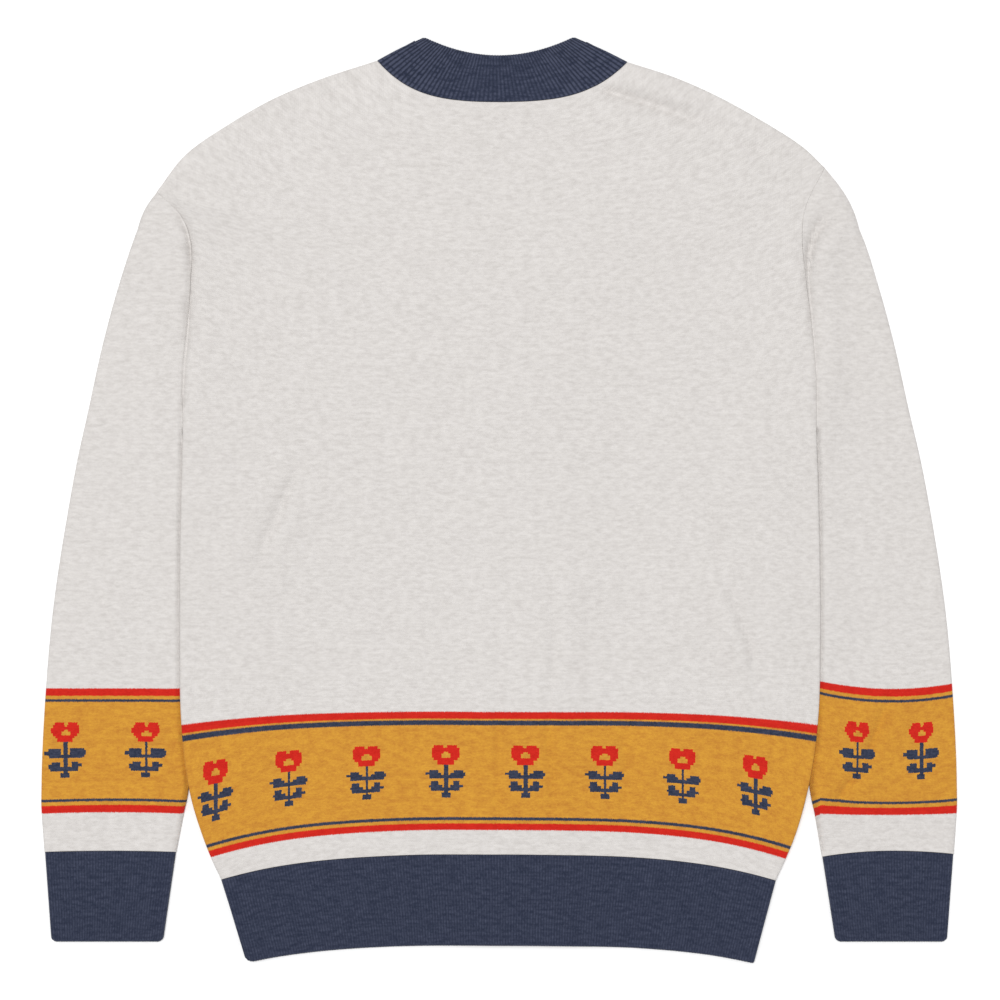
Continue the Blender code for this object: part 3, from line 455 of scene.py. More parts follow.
SLEEVE_FLOWER = flower({
    "head": ((0.0, 2.1, -8.7, -1.3), (0.0, 2.1, 1.8, 9.3), (2.0, 4.4, -10.0, -0.8),
             (2.0, 4.4, 1.0, 10.3), (3.4, 4.4, -1.0, 1.2), (4.3, 8.6, -11.7, 10.6),
             (8.5, 10.9, -10.0, 9.0), (10.8, 12.4, -8.2, 6.9), (12.3, 15.3, -6.7, 5.4)),
    "eye": ((5.8, 7.4, -1.3, 1.6), (7.3, 10.1, -3.2, 3.6)),
    "stem": ((15.2, 40.0, -1.8, 1.7),),
    "leaves": ((20.5, 26.6, -13.7, -3.7), (22.6, 25.6, -17.0, -13.6), (25.3, 27.9, -13.0, 13.0),
               (20.3, 27.3, 3.3, 14.6), (22.0, 25.8, 14.5, 15.8), (31.0, 38.3, -10.9, -4.4),
               (32.8, 36.4, -13.7, -10.8), (34.8, 38.3, -12.2, 9.8), (31.0, 37.8, 4.6, 9.8),
               (32.3, 34.8, 9.7, 12.8), (39.5, 43.4, -4.2, 2.9)),
})
SLENDER_STEM = 1.85         # how many times slimmer a slender stem is
SLENDER_EYE = 0.84          # how many times narrower an ordinary eye is than a slender flower's
SLENDER_EYE_DROP = 0.8      # and it lies this much lower

# Colours, as linear red, green and blue: yarn, and the lighter or darker fibre in its heather
Yarn = namedtuple("Yarn", "colour fleck")
YARNS = {
    "cream": Yarn((0.726, 0.697, 0.675), (0.568, 0.539, 0.517)),
    "mustard": Yarn((0.685, 0.338, 0.037), (0.505, 0.202, 0.026)),
    "red": Yarn((0.638, 0.019, 0.009), (0.500, 0.009, 0.004)),
    "navy": Yarn((0.0160, 0.0225, 0.048), (0.056, 0.065, 0.108)),
}
BUTTON_COLOUR = (0.028, 0.033, 0.06)
THREAD_COLOUR = (0.05, 0.058, 0.11)
FLOOR_COLOUR = (0.96, 0.96, 0.96)


# ---- curves and lines in the plan -------------------------------------------------------------------

def mix(start, end, share):
    """The value a share of the way from start to end."""
    return start + (end - start) * share


def ease(share):
    """Shares held between 0 and 1 and eased at both ends."""
    held = np.clip(share, 0.0, 1.0)
    return held * held * (3 - 2 * held)


def rounded(distance, radius, edge):
    """Share of the full height at a distance from an edge: a quarter of an ellipse above `edge`."""
    held = np.clip(distance / radius, 0.0, 1.0)
    return edge + (1 - edge) * np.sqrt(1 - (1 - held) ** 2)


def hump(share):
    """0 at both ends of a length and 1 half of the way along it."""
    return np.sin(math.pi * np.clip(share, 0.0, 1.0))


def smooth_curve(keys, values, at):
    """Read a table at the places given, along a smooth curve through its rows."""
    keys, values = np.asarray(keys, float), np.asarray(values, float)
    slopes = np.gradient(values, keys)
    index = np.clip(np.searchsorted(keys, at, side="right") - 1, 0, len(keys) - 2)
    width = keys[index + 1] - keys[index]
    t = (at - keys[index]) / width
    start = (1 + 2 * t) * (1 - t) ** 2 * values[index] + t * (1 - t) ** 2 * width * slopes[index]
    end = t * t * (3 - 2 * t) * values[index + 1] + t * t * (t - 1) * width * slopes[index + 1]
    return start + end


def lengths_along(points):
    """How far along a line each of its points lies."""
    return np.concatenate(([0.0], np.cumsum(np.hypot(*np.diff(points, axis=0).T))))


def on_line(keys, points, at):
    """Places on a line of straight stretches, where its points lie at keys."""
    return np.column_stack([np.interp(at, keys, column) for column in np.asarray(points, float).T])


def on_curve(keys, points, at):
    """Places on a smooth curve through points that lie at keys."""
    return np.column_stack([smooth_curve(keys, column, at) for column in np.asarray(points, float).T])


def evenly_along(points, count):
    """Points spaced evenly along a line that is given by many points."""
    lengths = lengths_along(points)
    return on_line(lengths, points, np.linspace(0.0, lengths[-1], count + 1))


def smoothed(line, spacing):
    """A line with its corners rounded, as points a few millimetres apart."""
    lengths = lengths_along(line)
    return on_curve(lengths, line, np.linspace(0.0, lengths[-1], max(3, int(lengths[-1] / spacing))))


def bezier(points, share):
    """Points on a cubic curve, and its direction there."""
    a, b, c, d = (np.asarray(point, float) for point in points)
    t = np.asarray(share, float)[..., None]
    place = (1 - t) ** 3 * a + 3 * (1 - t) ** 2 * t * b + 3 * (1 - t) * t * t * c + t ** 3 * d
    way = 3 * (1 - t) ** 2 * (b - a) + 6 * (1 - t) * t * (c - b) + 3 * t * t * (d - c)
    return place, way


def inwards(line, sign):
    """The way square to a fold at each of its points, to the left where sign is 1 and else right."""
    ways = np.gradient(line, axis=0)
    ways /= np.linalg.norm(ways, axis=1)[:, None]
    return sign * np.column_stack((ways[:, 1], -ways[:, 0]))


def place_on_line(x, y, line):
    """Distance to a line, signed by its side, and how far along it the nearest point lies."""
    best = np.full(np.shape(x), np.inf)
    signed = np.zeros(np.shape(x))
    along = np.zeros(np.shape(x))
    passed = 0.0
    for (ax, ay), (bx, by) in zip(line, line[1:]):
        length = math.hypot(bx - ax, by - ay)
        way_x, way_y = (bx - ax) / length, (by - ay) / length
        reach = np.clip((x - ax) * way_x + (y - ay) * way_y, 0.0, length)
        off_x, off_y = x - ax - reach * way_x, y - ay - reach * way_y
        distance = np.hypot(off_x, off_y)
        nearer = distance < best
        best = np.where(nearer, distance, best)
        side = np.where(way_x * off_y - way_y * off_x > 0, 1.0, -1.0)
        signed = np.where(nearer, side * distance, signed)
        along = np.where(nearer, passed + reach, along)
        passed += length
    return signed, along / passed


# ---- the garment's own lines ------------------------------------------------------------------------

def edge_of(row, side):
    """Where a course meets the outline at one side."""
    return (row.left_x, row.left_y) if side == "left" else (row.right_x, row.right_y)


def course_y(row, x):
    """Height of a course of the body at x, bent from its middle to where it meets the outline."""
    edge_x = np.where(x < 0, row.left_x, row.right_x)
    edge_y = np.where(x < 0, row.left_y, row.right_y)
    square = np.minimum(1.0, (x / edge_x) ** 2)
    near_hem = (HEM_COURSE_TOP - row.centre_y) / (HEM_COURSE_TOP - BODY_ROWS[0].centre_y)
    share = mix(COURSE_SQUARE, HEM_COURSE_SQUARE, np.clip(near_hem, 0.0, 1.0))
    return mix(row.centre_y, edge_y, share * square + (1 - share) * square ** 2)


def shifted_row(row, shift):
    """A course of the body moved along Y, such as the far side of a seam's gap."""
    return BodyRow(row.centre_y + shift, row.left_x, row.left_y + shift, row.right_x, row.right_y + shift)


def body_rows_at(centres):
    """Courses of the body at the heights given, as columns, smooth but for the outline's corners."""
    centres = np.asarray(centres, float)
    made = {name: np.zeros(len(centres)) for name in BodyRow._fields[1:]}
    corners = (0, UNDERARM_ROW, ARMHOLE_TOP_ROW, len(BODY_ROWS) - 1)
    for first, last in zip(corners, corners[1:]):
        rows = BODY_ROWS[first:last + 1]
        keys = [row.centre_y for row in rows]
        here = (centres >= keys[0]) & (centres <= keys[-1])
        for name in made:
            made[name][here] = smooth_curve(keys, [getattr(row, name) for row in rows], centres[here])
    return BodyRow(centres[:, None], *(made[name][:, None] for name in BodyRow._fields[1:]))


def body_rows_up_to(top):
    """Courses from the hem seam to a top: close together at both ends, and one on each corner."""
    low = BODY_ROWS[0].centre_y
    corners = [BODY_ROWS[row].centre_y for row in (UNDERARM_ROW, ARMHOLE_TOP_ROW)]
    stops = [low + NEAR_EDGE[-1], *corners, top - NEAR_EDGE[-1]]
    places = [low + step for step in NEAR_EDGE[:-1]]
    for start, end in zip(stops, stops[1:]):
        count = max(1, round((end - start) / ROW_SPACING))
        places += list(np.linspace(start, end, count, endpoint=False))
    return body_rows_at(places + [top - step for step in reversed(NEAR_EDGE)])


def from_row_ends(rows):
    """Distance on the centre line from the first and the last of a panel's courses."""
    return np.minimum(rows.centre_y - rows.centre_y[0], rows.centre_y[-1] - rows.centre_y)


def armhole_line(side):
    """The armhole from its top to the underarm, as a smooth line in the plan."""
    rows = BODY_ROWS[UNDERARM_ROW:ARMHOLE_TOP_ROW + 1]
    keys = [row.centre_y for row in rows]
    return on_curve(keys, [edge_of(row, side) for row in rows], np.linspace(keys[-1], keys[0], 61))


def body_side(side):
    """The body's outline from the top of the armhole down to the hem, as a smooth line."""
    centres = np.linspace(BODY_ROWS[0].centre_y, BODY_ROWS[ARMHOLE_TOP_ROW].centre_y, 200)[::-1]
    return np.column_stack(edge_of(body_rows_at(centres), side))


def shoulder_fold(side):
    """The fold of the neckband at a shoulder: its start at the neck corner, its end and its way."""
    corner, peak = np.array(edge_of(BODY_ROWS[-1], side)), np.array(NECK_PEAKS[side])
    return corner, peak, (peak - corner) / np.linalg.norm(peak - corner)


def band_line(side):
    """Places close together along a button band from the hem to the shoulder, and the way to its seam."""
    sign = BAND_SIGN[side]
    corner, peak, way = shoulder_fold(side)
    top = (corner + peak) / 2
    bend = top + BAND_BEND * sign * np.array((way[1], -way[0]))
    heights = np.linspace(BAND_BOTTOM, BAND_STRAIGHT_TOP, BAND_STEPS, endpoint=False)
    straight = np.column_stack((np.full(BAND_STEPS, BAND_X), heights))
    curve = ((BAND_X, BAND_STRAIGHT_TOP), BAND_NECK_CONTROL[side], bend, top)
    bent, ways = bezier(curve, np.linspace(0.0, 1.0, BAND_STEPS + 1))
    ways /= np.linalg.norm(ways, axis=1)[:, None]
    squares = np.column_stack((-sign * ways[:, 1], sign * ways[:, 0]))
    return np.vstack((straight, bent)), np.vstack((np.tile((-sign, 0.0), (BAND_STEPS, 1)), squares))


BAND_LINES = {side: band_line(side) for side in BAND_SIGN}
BAND_SEAMS = {side: places + (BAND_WIDTH / 2 + SEAM) * squares
              for side, (places, squares) in BAND_LINES.items()}
ARMHOLES = {side: armhole_line(side) for side in BAND_SIGN}
BODY_SIDES = {side: body_side(side) for side in BAND_SIGN}
SLEEVE_FOLD = np.array(sorted([(row.inner_y, row.inner_x) for row in SLEEVE_ROWS]
                              + [edge_of(BODY_ROWS[UNDERARM_ROW], "right")[::-1]]))


def band_seam_x(side, y):
    """Where a front meets its button band at this height."""
    return np.interp(y, BAND_SEAMS[side][:, 1], BAND_SEAMS[side][:, 0])


def front_end_x(side, rows):
    """Where each course of a front ends at its button band."""
    x = np.full(np.shape(rows.centre_y), BAND_X)
    for _ in range(30):
        x = (x + band_seam_x(side, course_y(rows, x))) / 2
    return x


def beside_armhole(centre_y):
    """1 where a course ends at the armhole's seam, 0 where it ends at a fold of the outline."""
    below = ease((centre_y - BODY_ROWS[UNDERARM_ROW].centre_y + UNDERARM_BELOW) / UNDERARM_FADE)
    return below * (centre_y < BODY_ROWS[ARMHOLE_TOP_ROW].centre_y)


def out_from_body(side, x, y):
    """How far out from the body's outline a place of a sleeve lies."""
    signed, _ = place_on_line(x, y, BODY_SIDES[side])
    return -signed if side == "left" else signed


# ---- heights ----------------------------------------------------------------------------------------

def side_lift(x, y):
    """How far the sleeve underneath raises the body."""
    start = np.interp(y, SLEEVE_FOLD[:, 0], SLEEVE_FOLD[:, 1]) - LIFT_MARGIN - LIFT_RAMP
    along = ease((LIFT_TOP_NONE - y) / (LIFT_TOP_NONE - LIFT_TOP_FULL))
    return LIFT * ease((np.abs(x) - start) / LIFT_RAMP) * along


def band_base(side, y):
    """Height of a button band's underside."""
    climb = BAND_CLIMB[side]
    return climb.base * ease((climb.none - y) / (climb.none - climb.full))


def front_base(side, x, y):
    """Height of a front's underside: on the surface, over the sleeve, and up to its band."""
    towards_band = BAND_SIGN[side] * (band_seam_x(side, y) - x)
    return side_lift(x, y) + band_base(side, y) * ease(1 - towards_band / BAND_REACH)


def back_base(x, y):
    """Height of the back's underside, which lies on the fronts and over their bands."""
    beside = np.maximum(0.0, np.maximum(x - band_seam_x("right", y), band_seam_x("left", y) - x))
    along = ease((RIDGE_TOP_NONE - y) / (RIDGE_TOP_NONE - RIDGE_TOP_FULL))
    return CLOTH + HOLLOW + side_lift(x, y) + RIDGE * along * ease(1 - beside / RIDGE_REACH)


def underarm_join(y):
    """How far the sleeve is joined to the body at a height: 0 below the underarm, 1 above it."""
    return ease((y - JOIN_Y) / JOIN_RAMP)


def sleeve_rise(side, x, y):
    """How far a sleeve's upper layer rises beside the body's edge."""
    out = out_from_body(side, x, y)
    joined = underarm_join(y)
    lift = LIFT * ease((LIFT_TOP_NONE - y) / (LIFT_TOP_NONE - LIFT_TOP_FULL))
    ramp = np.maximum(ease((out - RISE_GAP) / RISE_RAMP), joined)
    share = mix(RISE_LOOSE, RISE_JOINED, joined)
    return lift * share * np.exp(-(np.maximum(out, 0.0) / RISE_REACH) ** 2) * ramp


def creased(x, y, creases):
    """Height that a table of creases adds at each place."""
    total = np.zeros(np.shape(x))
    for crease in creases:
        signed, along = place_on_line(x, y, smoothed(crease.line, CREASE_STEP))
        width = np.where(signed > 0, crease.far, crease.near)
        total += crease.height * np.exp(-(signed / width) ** 2) * hump(along) ** CREASE_ENDS
    return total


def waves(x, y):
    """Height of the cloth's slow unevenness, which never sinks under 0."""
    return sum(wave.height * (1 + np.sin(2 * math.pi * (x / wave.across + y / wave.along) + wave.phase))
               for wave in WAVES)


def valley_swell(x, y, line, depths):
    """Height of the swells that a valley stands between, summed up along its line and so smooth."""
    total = np.zeros(np.shape(x))
    for (at_x, at_y), depth in zip(line, depths):
        total += depth * np.exp(-((x - at_x) ** 2 + (y - at_y) ** 2) / SWELL_REACH ** 2)
    return total * lengths_along(line)[-1] / (len(line) - 1) / (SWELL_REACH * math.sqrt(math.pi))


def valley_depth(points, marks, along):
    """Depth of a valley at shares of the way along it, from the points that lie at marks."""
    return np.maximum(0.0, smooth_curve(marks, [point.depth for point in points], along))


def valleys(x, y):
    """Height of the swells beside the valleys, and depth of the valleys between them."""
    swell, dip = np.zeros(np.shape(x)), np.zeros(np.shape(x))
    for points in VALLEYS:
        plan = [(point.x, point.y) for point in points]
        marks = lengths_along(plan) / lengths_along(plan)[-1]
        line = smoothed(plan, VALLEY_STEP)
        shares = np.clip(lengths_along(line) / lengths_along(line)[-1], 0.0, ALMOST_ONE)
        signed, along = place_on_line(x, y, line)
        along = np.clip(along, 0.0, ALMOST_ONE)
        reach = np.interp(along, marks, [point.reach for point in points])
        swell += SWELL_SHARE * valley_swell(x, y, line, valley_depth(points, marks, shares))
        dip += valley_depth(points, marks, along) * np.exp(-np.sqrt(signed ** 2 + VALLEY_ROUND) / reach)
    return swell, dip


def shoulder_seam_dip(x, y):
    """Depth of the groove along the left shoulder's seam."""
    signed, along = place_on_line(x, y, smoothed(SHOULDER_SEAM, CREASE_STEP))
    fade = ease(along / SHOULDER_SEAM_START) * ease((1 - along) / SHOULDER_SEAM_END)
    return SHOULDER_SEAM_DEPTH * np.exp(-(signed / SHOULDER_SEAM_WIDTH) ** 2) * fade


def end_dip(distance):
    """How far the top of a wall sinks beside a seam at the end of its rows."""
    return (1 - rounded(distance, SEAM_RADIUS, SEAM_EDGE)) * CLOTH


def edge_height(distance, seam):
    """Share of a layer's height beside a fold, or beside the armhole's seam where `seam` is 1."""
    return mix(rounded(distance, FOLD_RADIUS, FOLD_EDGE),
               rounded(distance, ARMHOLE_RADIUS, ARMHOLE_EDGE), seam)


def inner_height(distance):
    """Height of a layer's inner surface over the middle between the layers, beside a fold."""
    return HOLLOW / 2 * mix(0.5, 1.0, ease(distance / FOLD_RADIUS))


def shared_creases(x, y, distance):
    """Lift of both layers of the body where its creases run, gone at the outline."""
    return (creased(x, y, BACK_CREASES) + waves(x, y)) * ease(distance / CREASE_FADE)


def back_heights(x, y, distance, seam, dip, crest=0.0):
    """Upper and lower height of the back."""
    middle = back_base(x, y) - HOLLOW / 2
    lift = shared_creases(x, y, distance)
    swell, valley = valleys(x, y)
    share = edge_height(distance, seam)
    upper = middle + (HOLLOW / 2 + CLOTH + crest) * share + lift - np.minimum(dip, DEEPEST)
    upper = upper + swell - valley
    lower = middle + inner_height(distance) + lift + swell - np.minimum(VALLEY_UNDER * valley, swell)
    return upper, np.minimum(lower, upper - THINNEST * share)


def front_heights(side, x, y, distance, seam, dip):
    """Upper and lower height of a front, whose outer side is the lower one."""
    middle = front_base(side, x, y) + CLOTH + HOLLOW / 2
    lift = shared_creases(x, y, distance) * FRONT_SHARE
    arch = creased(x, y, FRONT_CREASES) * ease(distance / FRONT_CREASE_FADE)
    arch = np.minimum(arch, FRONT_CREASE_MOST + lift)
    share = edge_height(distance, seam)
    swell, valley = valleys(x, y)
    upper = middle - inner_height(distance) + lift + SWELL_UNDER * np.maximum(0.0, swell - valley)
    lower = middle - (HOLLOW / 2 + CLOTH) * share + np.minimum(dip, DEEPEST) + mix(lift, arch, 0.5)
    return upper, np.minimum(lower, upper - THINNEST_FRONT)


# ---- meshes -----------------------------------------------------------------------------------------

def grid_faces(index):
    """Faces of a grid of vertices, given their numbers row by row."""
    corners = (index[:-1, :-1], index[:-1, 1:], index[1:, 1:], index[1:, :-1])
    return np.stack(corners, axis=-1).reshape(-1, 4)


def rim_faces(upper, lower):
    """Faces between two lines of vertices that run side by side."""
    return np.stack((upper[:-1], lower[:-1], lower[1:], upper[1:]), axis=-1)


def add_object(name, mesh):
    """An object of a mesh, in the scene."""
    made = bpy.data.objects.new(name, mesh)
    bpy.context.scene.collection.objects.link(made)
    return made


def mesh_of(name, bm):
    """A mesh of what was built, with its faces pointing out."""
    bmesh.ops.recalc_face_normals(bm, faces=bm.faces)
    mesh = bpy.data.meshes.new(name)
    bm.to_mesh(mesh)
    bm.free()
    return mesh


def make_piece(node, surfaces, faces, cloth, material):
    """Cloth of two surfaces in millimetres, which stands for a node.

    The cloth's own coordinates are kept at each point.
    """
    mesh = bpy.data.meshes.new(node + "_shell")
    points = np.vstack([surface.reshape(-1, 3) for surface in surfaces])
    mesh.from_pydata((points * MM).tolist(), [], np.vstack(faces).tolist())
    attribute = mesh.attributes.new("cloth", "FLOAT_VECTOR", "POINT")
    attribute.data.foreach_set("vector", np.tile(cloth.reshape(-1, 3), (2, 1)).astype(np.float32).ravel())
    mesh.shade_smooth()
    mesh.materials.append(material)
    bm = bmesh.new()
    bm.from_mesh(mesh)
    bmesh.ops.recalc_face_normals(bm, faces=bm.faces)
    bm.to_mesh(mesh)
    bm.free()
    piece = add_object(node + "_shell", mesh)
    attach(piece, "root")
    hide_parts(node)
    return piece


def panel(node, x, y, heights, cloth, material, painted_rib_shade=0.0):
    """A wall of cloth over a grid of places, closed all round its edge.

    The last argument sets the painted shade of ribs: how much darker their valleys and lighter their
    crests are painted, from 0 to 1.
    """
    index = np.arange(x.size).reshape(x.shape)
    faces = [grid_faces(index), grid_faces(index + x.size)[:, ::-1]]
    faces += [rim_faces(line, line + x.size)
              for line in (index[0][::-1], index[-1], index[:, 0], index[::-1, -1])]
    surfaces = [np.stack((x, y, height), axis=-1) for height in heights]
    return make_piece(node, surfaces, faces, np.stack((*cloth, painted_rib_shade + 0 * x), axis=-1), material)


def flat_tube(node, side, walls, upper_u, lower_u, v, material):
    """A flattened tube of cloth, open at both ends.

    Walls are its outer and its inner surface: places across each section, and their heights above
    and below. The left tube is the mirror image of what is given.
    """
    def around(upper, lower):
        return np.concatenate((upper, lower[:, -2:0:-1]), axis=1)

    mirror = (-1.0 if side == "left" else 1.0, 1.0, 1.0)
    surfaces = [mirror * around(np.stack((x, y, high), axis=-1), np.stack((x, y, low), axis=-1))
                for x, y, high, low in walls]
    cloth = around(np.stack((upper_u, v, 0 * v), axis=-1), np.stack((lower_u, v, 0 * v), axis=-1))
    rows, columns, _ = cloth.shape
    count = rows * columns
    index = np.arange(count).reshape(rows, columns)
    index = np.concatenate((index, index[:, :1]), axis=1)
    faces = [grid_faces(index), grid_faces(index + count)]
    faces += [rim_faces(index[end], index[end] + count) for end in (0, -1)]
    return make_piece(node, surfaces, faces, cloth, material)


# ---- body -------------------------------------------------------------------------------------------

def back_columns(rows):
    """Places along each course of the back, close together beside the outline."""
    near = np.array(NEAR_EDGE)
    middle = np.linspace(0.0, 1.0, BACK_HALF_COLUMNS)[1:]
    left = np.concatenate((rows.left_x + near, mix(rows.left_x + near[-1], 0.0, middle)), axis=1)
    right = np.concatenate((rows.right_x - near, mix(rows.right_x - near[-1], 0.0, middle)), axis=1)
    return np.concatenate((left, right[:, -2::-1]), axis=1)


def knit_cloth(x, rows):
    """The body's own coordinates. Across it, the border is foreshortened towards the sides."""
    out = x - BORDER_MIDDLE
    across = BORDER_MIDDLE + np.sign(out) * smooth_curve(BORDER_SHOWN, BORDER_KNIT, np.abs(out))
    return across, rows.centre_y + 0 * x


def make_back(material):
    """The back, from the hem seam to the neck and out to the side seams, armholes and shoulders."""
    rows = body_rows_up_to(BODY_ROWS[-1].centre_y)
    x = back_columns(rows)
    y = course_y(rows, x)
    distance = np.minimum(x - rows.left_x, rows.right_x - x)
    dip = shoulder_seam_dip(x, y) + end_dip(from_row_ends(rows))
    heights = back_heights(x, y, distance, beside_armhole(rows.centre_y), dip)
    return panel("back", x, y, heights, knit_cloth(x, rows), material)


def front_columns(side, rows):
    """Places along each course of a front, from the outline to its band, and distances to both."""
    edge_x = edge_of(rows, side)[0]
    reach = np.abs(front_end_x(side, rows) - edge_x)
    near = np.array(NEAR_EDGE)[None, :] * np.minimum(1.0, FRONT_SQUEEZE * reach / NEAR_EDGE[-1])
    middle = np.linspace(0.0, 1.0, FRONT_COLUMNS)[None, 1:-1]
    end = reach - near[:, ::-1]
    distance = np.concatenate((near, mix(near[:, -1:], end[:, :1], middle), end), axis=1)
    return edge_x + BAND_SIGN[side] * distance, distance, reach - distance


def make_front(side, material):
    """A front, which follows the back's courses out to the same outline."""
    rows = body_rows_up_to(mix(BODY_ROWS[-2].centre_y, BODY_ROWS[-1].centre_y, FRONT_TOP_SHARE))
    x, distance, to_band = front_columns(side, rows)
    y = course_y(rows, x)
    dip = end_dip(np.minimum(from_row_ends(rows), to_band))
    heights = front_heights(side, x, y, distance, beside_armhole(rows.centre_y), dip)
    return panel("front_" + side, x, y, heights, knit_cloth(x, rows), material)


# ---- ribs -------------------------------------------------------------------------------------------

def rib_profile(turns, way, relief):
    """Height of ribs over the fine knit. Turns counts ribs across, and the crests differ a little."""
    rib = np.floor(turns)
    uneven = 1 - RIB_UNEVEN * (0.5 + 0.5 * np.sin(2.4 * rib + 0.7 * np.sin(1.3 * rib) + 2.0 * way))
    return RIB_RISE - relief + relief * np.abs(np.sin(math.pi * turns)) ** RIB_ROUND * uneven


def rib_wander(turns, way):
    """How far a rib strays sideways along its length."""
    return RIB_WANDER * (np.sin(3.1 * way + 0.21 * turns) + np.sin(7.3 * way + 0.05 * turns))


def rib_scallop(crest, relief, to_end):
    """How far each crest reaches past its valleys at the free edge."""
    reach = RIB_SCALLOP * (crest - RIB_RISE + relief / 2) / relief
    return reach * ease(1 - to_end / RIB_SCALLOP_REACH)


def corner_rise(distance, radius=CORNER_RADIUS):
    """How far a lower edge rises at a distance from its rounded corner."""
    short = radius - np.clip(distance, 0.0, radius)
    return radius - np.sqrt(radius ** 2 - short ** 2)


def free_edge_share(distance):
    """Share of a wall's thickness at a distance from its free edge."""
    return rounded(distance, FREE_EDGE_RADIUS, FREE_EDGE_SHARE)


def rib_grid(seam, free, ribs, length):
    """Places of ribbed cloth from its seam to its free edge, both given as x and y of the same columns.

    It also gives ribs counted across, the share of the way and the distance to the free edge.
    """
    near = np.array(RIB_NEAR_EDGE) / length
    middle = np.linspace(near[-1] * 1.6, 1 - near[-1] * 1.6, RIB_ROWS)
    way = np.concatenate((near, middle, 1 - near[::-1]))[:, None]
    x, y = (mix(first[None, :], last[None, :], way) for first, last in zip(seam, free))
    way = way + 0 * x
    turns = np.linspace(0.0, 1.0, x.shape[1])[None, :] * ribs + 0 * x
    return x, y, turns, way, (1 - way) * length


def rib_shares(width, columns):
    """How many ribs go into a width, and shares across for the columns of the mesh."""
    ribs = round(abs(width) / RIB_PITCH)
    return ribs, np.linspace(0.0, 1.0, ribs * columns + 1)


HEM_TOP = shifted_row(BODY_ROWS[0], -SEAM)
HEM_LENGTH = HEM_TOP.centre_y - HEM_BOTTOM.centre_y


def make_hem_back(material):
    """The ribbed hem of the back."""
    ribs, shares = rib_shares(HEM_TOP.right_x - HEM_TOP.left_x, RIB_COLUMNS)
    seam_x, free_x = (mix(row.left_x, row.right_x, shares) for row in (HEM_TOP, HEM_BOTTOM))
    free_y = course_y(HEM_BOTTOM, free_x)
    free_y = free_y + corner_rise(free_x - HEM_BOTTOM.left_x, HEM_CORNERS["left"])
    free_y = free_y + corner_rise(HEM_BOTTOM.right_x - free_x, HEM_CORNERS["right"])
    seam = (seam_x, course_y(HEM_TOP, seam_x))
    x, y, turns, way, to_end = rib_grid(seam, (free_x, free_y), ribs, HEM_LENGTH)
    crest = rib_profile(turns, way, RIB_RELIEF)
    distance = np.minimum(x - x[:, :1], x[:, -1:] - x)
    upper, lower = back_heights(x, y, distance, 0.0, end_dip(way * HEM_LENGTH), crest)
    heights = (lower + (upper - lower) * free_edge_share(to_end), lower)
    y = y - rib_scallop(crest, RIB_RELIEF, to_end)
    x = x + rib_wander(turns, way) * ease(distance / WANDER_FADE)
    return panel("hem_rib_back", x, y, heights, (turns * RIB_PITCH, -way * HEM_LENGTH), material)


def make_hem_front(side, material):
    """The ribbed hem of a front, with its ribs on the side that rests on the surface."""
    sign = BAND_SIGN[side]
    edges = [edge_of(row, side)[0] for row in (HEM_TOP, HEM_BOTTOM)]
    ends = [float(front_end_x(side, BodyRow(*map(np.array, row)))) for row in (HEM_TOP, HEM_BOTTOM)]
    ribs, shares = rib_shares(ends[0] - edges[0], HIDDEN_RIB_COLUMNS)
    seam_x, free_x = (mix(edge, end, shares) for edge, end in zip(edges, ends))
    free_y = course_y(HEM_BOTTOM, free_x) + corner_rise(np.abs(free_x - edges[1]), HEM_CORNERS[side])
    seam = (seam_x, course_y(HEM_TOP, seam_x))
    x, y, turns, way, to_end = rib_grid(seam, (free_x, free_y), ribs, HEM_LENGTH)
    relief = RIB_RELIEF * HIDDEN_RELIEF
    valley = RIB_RISE - rib_profile(turns, way, relief)
    dip = end_dip(way * HEM_LENGTH) + end_dip(sign * (x[:, -1:] - x))
    upper, lower = front_heights(side, x, y, sign * (x - x[:, :1]), 0.0, dip + valley)
    heights = (upper, upper - (upper - lower) * free_edge_share(to_end))
    y = y + 0.5 * RIB_SCALLOP * valley / relief * ease(1 - to_end / RIB_SCALLOP_REACH)
    return panel("hem_rib_front_" + side, x, y, heights, (turns * RIB_PITCH, -way * HEM_LENGTH), material)


def neck_free_edge(count):
    """The neckband's free edge, which dips between its two corners, as places spaced evenly."""
    x = np.linspace(NECK_PEAKS["left"][0], NECK_PEAKS["right"][0], NECK_POINTS)
    peak_x, peak_y = (np.where(x < 0, left, right) for left, right in zip(*NECK_PEAKS.values()))
    edge = evenly_along(np.column_stack((x, mix(NECK_DIP, peak_y, (x / peak_x) ** 2))), count)
    from_peak = np.hypot(*(edge - np.where(edge[:, :1] < 0, edge[0], edge[-1])).T)
    edge[:, 1] -= NECK_PEAK_ROUNDING * corner_rise(from_peak)
    return edge


